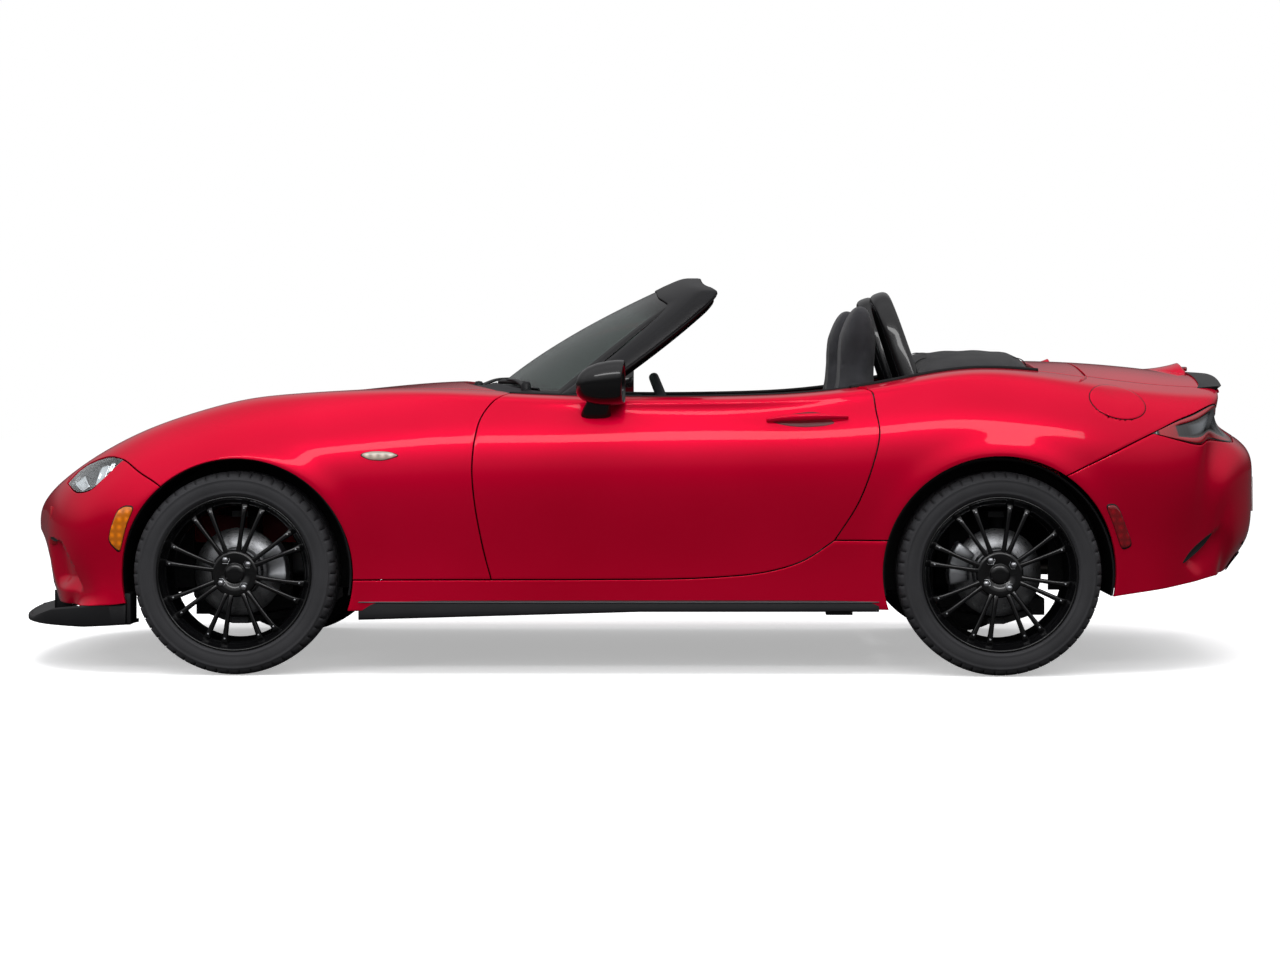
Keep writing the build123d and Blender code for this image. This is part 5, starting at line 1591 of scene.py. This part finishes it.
# %% Skirts and splitter
x = np.linspace(-836, 735, 60)
low = np.interp(x, (-836, -600, 15, 737), (168, 175, 193, 194))
high = np.interp(x, (-836, 735), (226, 228))
SKIRT_SECTION = ((-793, 1.0), (-822, 1.0), (-829, 0.9), (-834, 0.35), (-833.5, 0.08),
                 (-828, 0.0), (-796, 0.0), (-793, 0.2))
skirt = np.stack([np.stack([x, np.full(60, y), low + (high - low) * k], -1)
                  for y, k in SKIRT_SECTION], 1) * MM
place(gather("skirt_mouldings", mirrored([(skirt, "c", True)]), MATT_BLACK, roll=0.001),
      "chassis", "black_plastic", "side_skirts")
bead = sweep(np.stack([x, np.full(60, -835.0), high - 4], -1), oval(1.6, 2.2, 8), (0, 1, 0))
place(gather("skirt_beads", mirrored([(bead, "c", True)]),
             plain("grey_skirt_edge", "55575A", 0.4)), "chassis", "black_plastic")

LIP_PLAN = smooth_line([(-1967, 0), (-1960.5, 180), (-1939, 360), (-1892, 530),
                        (-1805, 668), (-1700, 752), (-1600, 800), (-1545, 812)], 70)
run = np.linspace(0, 1, 70)
inward = unit(np.gradient(LIP_PLAN, axis=0))[:, ::-1] * (1, -1)
wall = np.clip((run - 0.52) / 0.20, 0, 1) ** 1.5
wall_top = np.interp(run, (0, 0.55, 0.70, 0.85, 1.0), (152, 156, 190, 206, 233))
blade_bottom = np.interp(run, (0, 0.3, 0.6, 0.85, 1.0), (146, 141, 139, 140, 151))
LIP_SECTION = ((0, 0.0), (0, 0.35), (4, 0.9), (9, 1.0), (13, 0.8), (16, 0.45), (110, 0.50),
               (112, 0.0))
shape = []
for deep, rise_share in LIP_SECTION:
    here = LIP_PLAN + inward * deep
    tall = np.where(rise_share > 0.4, np.where(deep < 14, rise_share, 0.0), rise_share)
    flat_top = blade_bottom + 12 * min(1.0, rise_share * 2)
    z_here = np.where(tall > 0.4, blade_bottom + (wall_top - blade_bottom) * tall, flat_top)
    z_here = blade_bottom if rise_share == 0 else z_here
    shape.append(np.stack([here[:, 0], -here[:, 1], z_here], -1))
lip = np.stack(shape, 1) * MM
place(gather("splitter_blade", mirrored([(lip, "c", True)]), SATIN_BLACK, roll=0.0008),
      "chassis", "gloss_black", "front_splitter")
stays = [brick((-1905 + 0.0004 * y * y, y - 5, 150), (-1860 + 0.0004 * y * y, y + 5, 212))
         for y in (-430, -200, 200, 430)]
place(gather("splitter_stays", stays, SATIN_BLACK, roll=0.001), "chassis", "black_plastic")
flap_front = [brick((-1588, -800, 150), (-1530, -700, 246))]
place(gather("wheel_deflectors", mirrored(flap_front), MATT_BLACK, roll=0.004), "chassis",
      "black_plastic")

# %% [markdown]
# ## Rear of the body
# On the boot lid sit a black lip and, before it, a painted hump that holds the high stop
# lamp; the deck carries the aerial's foot. The humps are fields of height over the skin:
# a rise that grows slowly, falls off steeply behind and fades to the sides. The lip is a
# closed section carried along the edge of the lid.


# %% Humps and boot lip
def hump(x, y, middle_y, half_width, height):
    """A grid over the skin in plan; x runs from the start to the end of the hump, in mm."""
    gx, gy = np.meshgrid(x, middle_y + half_width * np.linspace(-1, 1, y), indexing="ij")
    flat = np.stack([gx.reshape(-1), -np.abs(gy.reshape(-1))], -1)
    uv = on_skin([("plan", a, b) for a, b in flat.tolist()])
    along = np.clip((gx - x[0]) / (x[-1] - x[0]), 0, 1)
    rise = (np.minimum(along / 0.84, 1) ** 1.4
            - np.maximum((along - 0.84) / 0.16, 0) ** 1.5)
    fade = np.clip(1 - ((gy - middle_y) / (half_width * (0.55 + 0.45 * along))) ** 2, 0, 1)
    lift = (height * rise * fade**0.7 - 0.4) * MM
    flip = np.where(gy > 0, -1.0, 1.0).reshape(-1, 1)
    skin = body(uv) + normal(uv) * lift.reshape(-1, 1)
    return (skin * np.concatenate([flip**0, flip, flip**0], 1)).reshape(*gx.shape, 3)


stop_hump = hump(np.linspace(1646, 1788, 40), 41, 0.0, 118.0, 33.0)
place(gather("stop_lamp_hump", [(stop_hump, "", False)], PAINT, outward=False), "boot",
      "paint")
y = np.linspace(-64, 64, 30)
stop_uv = on_skin([("plan", 1782.0, -abs(v)) for v in y.tolist()])
stop_base = (body(stop_uv) + normal(stop_uv) * 0.014) / MM * (1, 0, 1) + np.stack(
    [np.full(30, 5.0), y, np.zeros(30)], -1)
place(gather("stop_lamp_lens", [(sweep(stop_base, oval(4, 7, 16, 3.0)), "c", True)],
             lens("stop_lamp_red", "8E0012", 0.2)), "boot", "tail_lens")
aerial = hump(np.linspace(1306, 1400, 28), 25, 350.0, 44.0, 29.0)
place(gather("aerial_foot", [(aerial, "", False)], PAINT, outward=False), "chassis", "paint")

half_v = np.linspace(5.34, 8.0, 40)
edge_uv = np.stack([np.interp(half_v, (5.34, 5.6, 8.0), (22.75, 22.95, 22.95)), half_v], -1)
base, up = body(edge_uv), normal(edge_uv)
ahead = unit(body(edge_uv - (0.5, 0)) - base)
SECTION = ((60, -2), (46, 2), (28, 6), (10, 10), (-6, 13), (-12, 12.5), (-11, 6), (-6, -2),
           (0, -14), (8, -18), (30, -10), (54, -6))
lip_half = np.stack([base + ahead * a * MM + up * b * MM for a, b in SECTION], 1)
lip_full = np.concatenate([lip_half, lip_half[-2::-1] * (1, -1, 1)])
place(gather("boot_lip", [(lip_full, "c", True)], SATIN_BLACK, roll=0.0012), "boot",
      "gloss_black", "boot_spoiler")

# %% [markdown]
# The foot of the rear bumper is a black moulding with the two tailpipes on the right, an
# air slot at each corner, and a recess for a plate, which stays blank.

# %% Rear bumper details
SLOT = rounded([(1657, 326), (1694, 378), (1770, 432), (1732, 382)])
front_slot = rounded([(-1830, 400), (-1808, 407), (-1776, 397), (-1800, 393)])
slots = [dome(outline, [(1.06, -0.6), (1.02, 0.7), (0.94, 0.7), (0.88, 0.3), (0.0, 0.3)])
         for outline in (SLOT, front_slot)]
place(gather("bumper_slots", mirrored([(g, "c", False) for g in slots]), MATT_BLACK),
      "chassis", "black_plastic")


def back_panel(half, low, high, lift, rows=14, cols=40):
    """A grid on the tail, between two heights, from the middle out to a half width."""
    y, z = np.meshgrid(np.linspace(0, half, cols), np.linspace(low, high, rows))
    uv = on_skin([("back", -a, b) for a, b in
                  np.stack([y.reshape(-1), z.reshape(-1)], -1).tolist()])
    return drape(uv.reshape(rows, cols, 2), lift)


diffuser = back_panel(500, 300, 352, 0.0008)
diffuser_piece = gather("rear_valance", mirrored([(diffuser, "", False)]), MATT_BLACK,
                        outward=False)
thicken(diffuser_piece, 0.004)
place(diffuser_piece, "chassis", "black_plastic")
plate_x = back_panel(255, 470, 580, 0.0)[..., 0].max() / MM
plate = brick((plate_x - 3, -260, 472), (min(plate_x + 4, 1968.4), 260, 583))
place(gather("blank_plate", [plate], plain("blank_plate_white", "D9D9D6", 0.45),
             roll=0.0015), "chassis", "black_plastic")
pipes = []
for y_pipe in (430, 510):
    outer = [(26, 0), (28, 0), (32, 150), (33.5, 235), (34, 252), (32.5, 255), (30.5, 252),
             (29, 235), (26, 60), (0, 60)]
    ring = lathe(outer, 40)
    pipes.append((np.stack([ring[..., 2] + 1.690, ring[..., 0] + y_pipe * MM,
                            ring[..., 1] + 0.298], -1), "c", False))
place(gather("tailpipe_trims", pipes, STEEL), "chassis", "exhaust_steel")

# %% [markdown]
# ### Folded top
# The cloth top lies folded in its well. Its bows press long, low ridges across the cloth,
# and the cloth falls towards the sides. It is a closed padded form: a field of heights
# over the well with a rolled front and rear edge, let swell as cloth so that the ridges
# become soft. Real top cloth is a tight weave with a rubber core, hence the fine grain
# and the dull sheen.

# %% Folded top
across = np.linspace(-1, 1, 61)
x_top = np.array([868, 870, 880, 900, 950, 1000, 1057, 1110, 1160, 1200, 1220, 1230, 1236.0])
z_top = np.array([880, 925, 962, 976, 979, 983, 985.5, 985, 983, 979, 971, 955, 925.0])
fine_x = smooth_line(np.stack([x_top, z_top], -1), 60)
ridge = 3.0 * np.sin(np.clip((fine_x[:, 0] - 900) / 300, 0, 1) * np.pi * 3) ** 2
fall = 58 * np.abs(across) ** 3.2 + 10 * np.abs(across) ** 1.5
crest = fine_x[:, 1:] - fall[None] - ridge[:, None] * (1 - np.abs(across[None]) ** 6)
share = np.clip((crest - 812) / 150, 0, 1)
upper = np.stack(np.broadcast_arrays(fine_x[:, :1], 588 * across[None], crest), -1)
lower = np.stack(np.broadcast_arrays(np.clip(fine_x[:, :1], 874, 1230), 582 * across[None],
                                     np.full((60, 61), 815.0)), -1)
shell = np.concatenate([upper, lower[:, ::-1]], 1) * MM
roof = gather("folded_top_cloth", [(shell, "c", True)], TOP_CLOTH)
roof = swell(roof, voxel=0.009, pressure=1.5, cap=0.004)
soften(roof)
place(roof, "chassis", "top_cloth", "soft_top")
seam_lines = []
for share_y in (-0.64, 0.0, 0.64):
    k = int(round((share_y + 1) * 30))
    seam = np.stack([fine_x[4:-4, 0], np.full(52, 588 * across[k]), crest[4:-4, k] + 0.8], -1)
    seam_lines.append((sweep(seam, oval(5, 1.6, 10), (0, 0, 1)), "c", True))
place(gather("folded_top_seams", seam_lines, TOP_CLOTH), "chassis", "top_cloth")
rail = line([*plan((1238, 606), (1100, 634), (900, 666), (760, 690)), DOOR_TOP_REAR], 60)
rail_path = body(rail) / MM + (0, 5, 1)
rail_bead = sweep(rail_path, oval(10, 7, 16, 2.6), (0, 0, 1))
place(gather("well_seal", mirrored([(rail_bead, "c", True)]), SEAL), "chassis",
      "black_plastic")

# %% [markdown]
# ## Structure under the lids
# With the bonnet up one sees the firewall, two rails and the cross member behind the
# bumper, painted like the body but dull; with the boot up, a tub lined with carpet. Both
# are sets of plates with rounded edges.

# %% Structure and boot liner
def pins(x, z, y0, y1):
    """A short rod across the car, in mm."""
    ring = oval(6, 6, 16)
    return (np.stack([np.stack([x + ring[:, 0], np.full(16, float(y)), z + ring[:, 1]], -1)
                      for y in (y0, y1)]) * MM, "c", True)


bay = [brick((-465, -672, 192), (-440, 672, 856)),
       brick((-1828, -560, 380), (-1800, 560, 498))]
bay += mirrored([brick((-612, -760, 200), (-588, -612, 760)),
                 brick((-588, -722, 200), (-475, -662, 800)),
                 brick((-1810, -444, 380), (-466, -374, 466)),
                 brick((-445, -632, 809), (-381, -618, 832)), pins(-395, 825, -630, -590)])
place(gather("engine_bay_panels", bay, plain("dull_red_bay_paint", "8E0A18", 0.5), roll=0.002),
      "chassis", "chassis_metal", "bulkhead")
liner = [brick((790, -525, 225), (815, 525, 790)), brick((790, -640, 767), (1240, 640, 792)),
         brick((1215, -640, 662), (1240, 640, 790)),
         brick((1215, -560, 660), (1470, 560, 680)),
         brick((1455, -525, 382), (1475, 525, 680)),
         brick((1455, -520, 380), (1888, 520, 400)),
         brick((1868, -515, 380), (1888, 515, 660))]
liner += mirrored([brick((1455, -540, 380), (1740, -520, 760)),
                   brick((1740, -540, 380), (1868, -520, 655)),
                   brick((1238, -522, 690), (1276, -508, 878)), pins(1262, 866, -520, -484)])
place(gather("boot_liner", liner, CARPET, roll=0.002), "chassis", "chassis_metal", "boot_tub")

# %% [markdown]
# ## Mouth of the bumper
# Behind the wide mouth lies a black grille: a dark wall that follows the nose 55 mm
# behind its skin, and thin slats before it. The rim of the mouth gets a black inner
# collar, so no daylight shows between skin and grille.

# %% Grille
def nose_path(z, half, lift, count=60):
    """A line across the nose at one height, on both sides of the middle, in mm."""
    y = np.linspace(0, half, count)
    uv = on_skin([("front", -v, z) for v in y.tolist()])
    right = drape(uv, lift) / MM
    return np.concatenate([right[::-1], right[1:] * (1, -1, 1)])


levels = np.linspace(238, 432, 12)
wall = np.stack([nose_path(z, 520, -0.060) for z in levels]) * MM
grille_wall = gather("grille_wall", [(wall, "", False)], MATT_BLACK, outward=False)
thicken(grille_wall, 0.004)
place(grille_wall, "chassis", "black_plastic", "grille")
slats = []
for z in np.linspace(262, 408, 7):
    half = np.interp(z, (246, 330, 420), (400, 488, 360))
    slats.append((sweep(nose_path(z, half, -0.036), oval(9, 2.2, 12), (0, 0, 1)), "c", True))
place(gather("grille_slats", slats, SATIN_BLACK), "chassis", "black_plastic")
mouth = [front((0, 420))[0], *front((200, 417), (360, 400), (450, 372), (500, 330),
                                   (465, 284), (390, 256), (220, 246), (0, 246))]
mouth_uv = line(mouth, 120)
collar = np.stack([drape(mouth_uv, lift) for lift in (-0.008, -0.03, -0.062)])
collar_piece = gather("mouth_collar", mirrored([(collar, "", False)]), MATT_BLACK,
                      outward=False)
thicken(collar_piece, 0.003)
place(collar_piece, "chassis", "black_plastic")

# %% [markdown]
# ## Inside the doors and the cabin
# Each door carries a moulded card on its inner side, thick enough to close the door's
# shell. The dashboard and console are grained vinyl; the wheel has three
# spokes and a bare boss. Seen from the side only their tops show.

# %% Door cards
card_uv = coons(*[line(points, n) for points, n in (
    (side((-380, 330), (-106, 330), (256, 336), (376, 350), (560, 430)), 60),
    ([*plan((-360, 712)), *plan((-100, 708), (200, 708), (450, 708)), *plan((630, 708))], 60),
    (side((-380, 330), (-420, 600)) + plan((-360, 712)), 30),
    (side((560, 430), (660, 620)) + plan((630, 708)), 30))])
outer_card, inner_card = drape(card_uv, -0.0135), drape(card_uv, -0.050)
inner_card[..., 1] = np.minimum(inner_card[..., 1], -0.7045)
edge_ring = [(0, slice(None)), (-1, slice(None)), (slice(None), 0), (slice(None), -1)]
rims = [np.stack([outer_card[at], inner_card[at]]) for at in edge_ring]
for hand, flip in (("left", 1), ("right", -1)):
    turn = (1, flip, 1)
    grids = [(g * turn, "", False) for g in (outer_card, inner_card, *rims)]
    card = gather(f"door_{hand}_card", grids, VINYL)
    place(card, f"door_{hand}", "trim_vinyl")

# %% Steering wheel
HUB_AT = np.array([115.0, -370, 744])
AXIS = np.array([math.cos(math.radians(22)), 0, math.sin(math.radians(22))])
LIFT = np.array([-AXIS[2], 0, AXIS[0]])


def on_wheel(a, b, c):
    """Points from places across (a), up (b) and towards the driver (c), in mm."""
    a, b, c = np.broadcast_arrays(*[np.asarray(v, float)[..., None] for v in (a, b, c)])
    return HUB_AT + a * np.array([0, 1, 0]) + b * LIFT + c * AXIS


turn = np.linspace(0, 2 * np.pi, 73)[:-1]
tube = np.linspace(0, 2 * np.pi, 17)[:-1]
ring_r = 169.5 + 13.5 * np.cos(tube)
rim_grid = on_wheel(ring_r[None] * np.cos(turn)[:, None], ring_r[None] * np.sin(turn)[:, None],
                    15.5 * np.sin(tube)[None] + 0 * turn[:, None]) * MM
spoke_grids = []
for angle in (0, 180, 270):
    a = math.radians(angle)
    r = np.linspace(46, 162, 10)
    section = oval(1, 1, 16, 3.0)
    wide, thick = np.linspace(26, 17, 10)[:, None], np.linspace(9, 6, 10)[:, None]
    sway = section[None, :, 0] * wide
    deep = section[None, :, 1] * thick - 12 + 10 * ((r[:, None] - 46) / 116)
    spoke_grids.append((on_wheel(r[:, None] * math.cos(a) - sway * math.sin(a),
                                 r[:, None] * math.sin(a) + sway * math.cos(a), deep) * MM,
                        "c", True))
boss_ring = oval(62, 52, 40, 2.6)
boss = np.stack([on_wheel(boss_ring[:, 0] * k, boss_ring[:, 1] * k, np.full(40, c))
                 for k, c in ((0.3, -40), (0.8, -34), (1.0, -18), (1.0, -6), (0.94, 3),
                              (0.8, 7), (0.4, 9), (0.0, 9.5))]) * MM
column = np.stack([on_wheel(24 * np.cos(tube), 24 * np.sin(tube), np.full(16, c))
                   for c in (-72, -30)]) * MM
wheel_piece = gather("steering_wheel_rim", [(rim_grid, "rc", False), (boss, "c", True),
                                            (column, "c", True), *spoke_grids], VINYL)
place(wheel_piece, "steering", "trim_vinyl", "steering_wheel")

# %% [markdown]
# ## Finishes for the plain pieces
# What stays as the frame made it gets the finish of its real material: pressed and
# painted steel for floor and axles, cast aluminium for the engine, heat-stained steel
# for the exhaust, moulded black plastic for the arch liners, and vinyl for dashboard and
# console.

# %% Finishes for the frame's own pieces
for material, *nodes in (
    (DARK_STEEL, "floor_pan", "front_axle", "rear_axle"),
    (ALLOY, "engine"),
    (PIPE_STEEL, "exhaust"),
    (MATT_BLACK, "arch_liners"),
    (VINYL, "dashboard", "centre_console"),
):
    for node in nodes:
        if node in bpy.data.objects:
            for slot in bpy.data.objects[node].material_slots:
                slot.material = material

# %% [markdown]
# ## Studio
# The car stands on pale paper under one large soft box, with a weaker one at the front
# and a long narrow one beside it that draws a line of light along the flank.
# The world is bright above and darker at the horizon, as a studio is, so the lacquer has
# a light sky on the shoulders and a dark one on the flanks; its far side is dimmer, so
# the bonnet keeps its colour at a low view. Only rays that come straight
# from the camera, or through glass, see plain white; the paper is white to the camera
# and dark grey to the rest of the scene, so it does not light the sills from below.

# %% Stage, light and camera
def seen_by_camera(tree):
    """One where a ray comes from the camera."""
    return add(tree, "ShaderNodeLightPath").outputs["Is Camera Ray"]


paper, tree, shader = finish("studio_paper", "FFFFFF", roughness=0.95)
tree.links.new(mix(tree, seen_by_camera(tree), linear("3C3C3C"), linear("FFFFFF")),
               shader.inputs["Base Color"])
shader.inputs["Emission Color"].default_value = linear("FFFFFF")
tree.links.new(ramp(tree, seen_by_camera(tree), 0, 1, 0, 0.42).outputs[0],
               shader.inputs["Emission Strength"])
floor_points = np.array([(-30, -30, 0), (30, -30, 0), (30, 30, 0), (-30, 30, 0)], float)
mesh_piece("studio_floor", floor_points, np.array([[0, 1, 2, 3]]), paper)

world = bpy.data.worlds.new("studio")
bpy.context.scene.world = world
world.use_nodes = True
tree = world.node_tree
at = add(tree, "ShaderNodeTexCoord")
height = add(tree, "ShaderNodeSeparateXYZ", in_0=at.outputs["Generated"])
sky = add(tree, "ShaderNodeValToRGB", in_0=height.outputs["Z"])
for spot, level in ((0.05, 0.12), (0.13, 0.42), (0.28, 0.72), (0.60, 0.95)):
    sky.color_ramp.elements.new(spot).color = (level, level, level * 1.02, 1)
sky.color_ramp.elements[0].color = (0.06, 0.06, 0.06, 1)
sky.color_ramp.elements[-1].color = (1.0, 1.0, 1.02, 1)
white = add(tree, "ShaderNodeBackground", in_0=linear("FFFFFF"), in_1=1.0)
lit = add(tree, "ShaderNodeBackground", in_0=sky.outputs[0])
far_side = ramp(tree, height.outputs["Y"], -0.1, 0.5, 0.9, 0.4)
tree.links.new(far_side.outputs[0], lit.inputs[1])
rays = add(tree, "ShaderNodeLightPath")
plain_view = add(tree, "ShaderNodeMath", operation="MAXIMUM",
                 in_0=rays.outputs["Is Camera Ray"], in_1=rays.outputs["Is Transmission Ray"])
either = add(tree, "ShaderNodeMixShader", in_0=plain_view.outputs[0], in_1=lit.outputs[0],
             in_2=white.outputs[0])
tree.links.new(either.outputs[0], tree.nodes["World Output"].inputs["Surface"])


def soft_box(name, centre, target, size, watts):
    """An area lamp that faces a point."""
    lamp = bpy.data.lights.new(name, "AREA")
    lamp.shape, lamp.size, lamp.size_y, lamp.energy = "RECTANGLE", size[0], size[1], watts
    holder = bpy.data.objects.new(name, lamp)
    bpy.context.scene.collection.objects.link(holder)
    aim = Vector(target) - Vector(centre)
    holder.location = centre
    holder.rotation_euler = aim.to_track_quat("-Z", "Y").to_euler()
    return holder


for lamp in (soft_box("overhead", (0, -1.5, 5.0), (0, 0, 0.5), (7.0, 3.0), 270),
             soft_box("front_fill", (-5.5, -5.5, 2.6), (-1.0, 0, 0.5), (2.5, 2.5), 130)):
    lamp.visible_glossy = False
soft_box("side_strip", (0.3, -7.0, 3.9), (0, 0, 0.6), (8.0, 0.8), 130)

camera_data = bpy.data.cameras.new("camera")
camera = bpy.data.objects.new("camera", camera_data)
bpy.context.scene.collection.objects.link(camera)
camera.location = (0.138, -9.7, 0.917)
camera.rotation_euler = (math.radians(90), 0, math.radians(0.797))
camera_data.lens = 82.73
camera_data.sensor_width = 36
camera_data.shift_y = -108 / 1280
camera_data.clip_end = 100
bpy.context.scene.camera = camera
bpy.context.scene.view_settings.view_transform = "Standard"
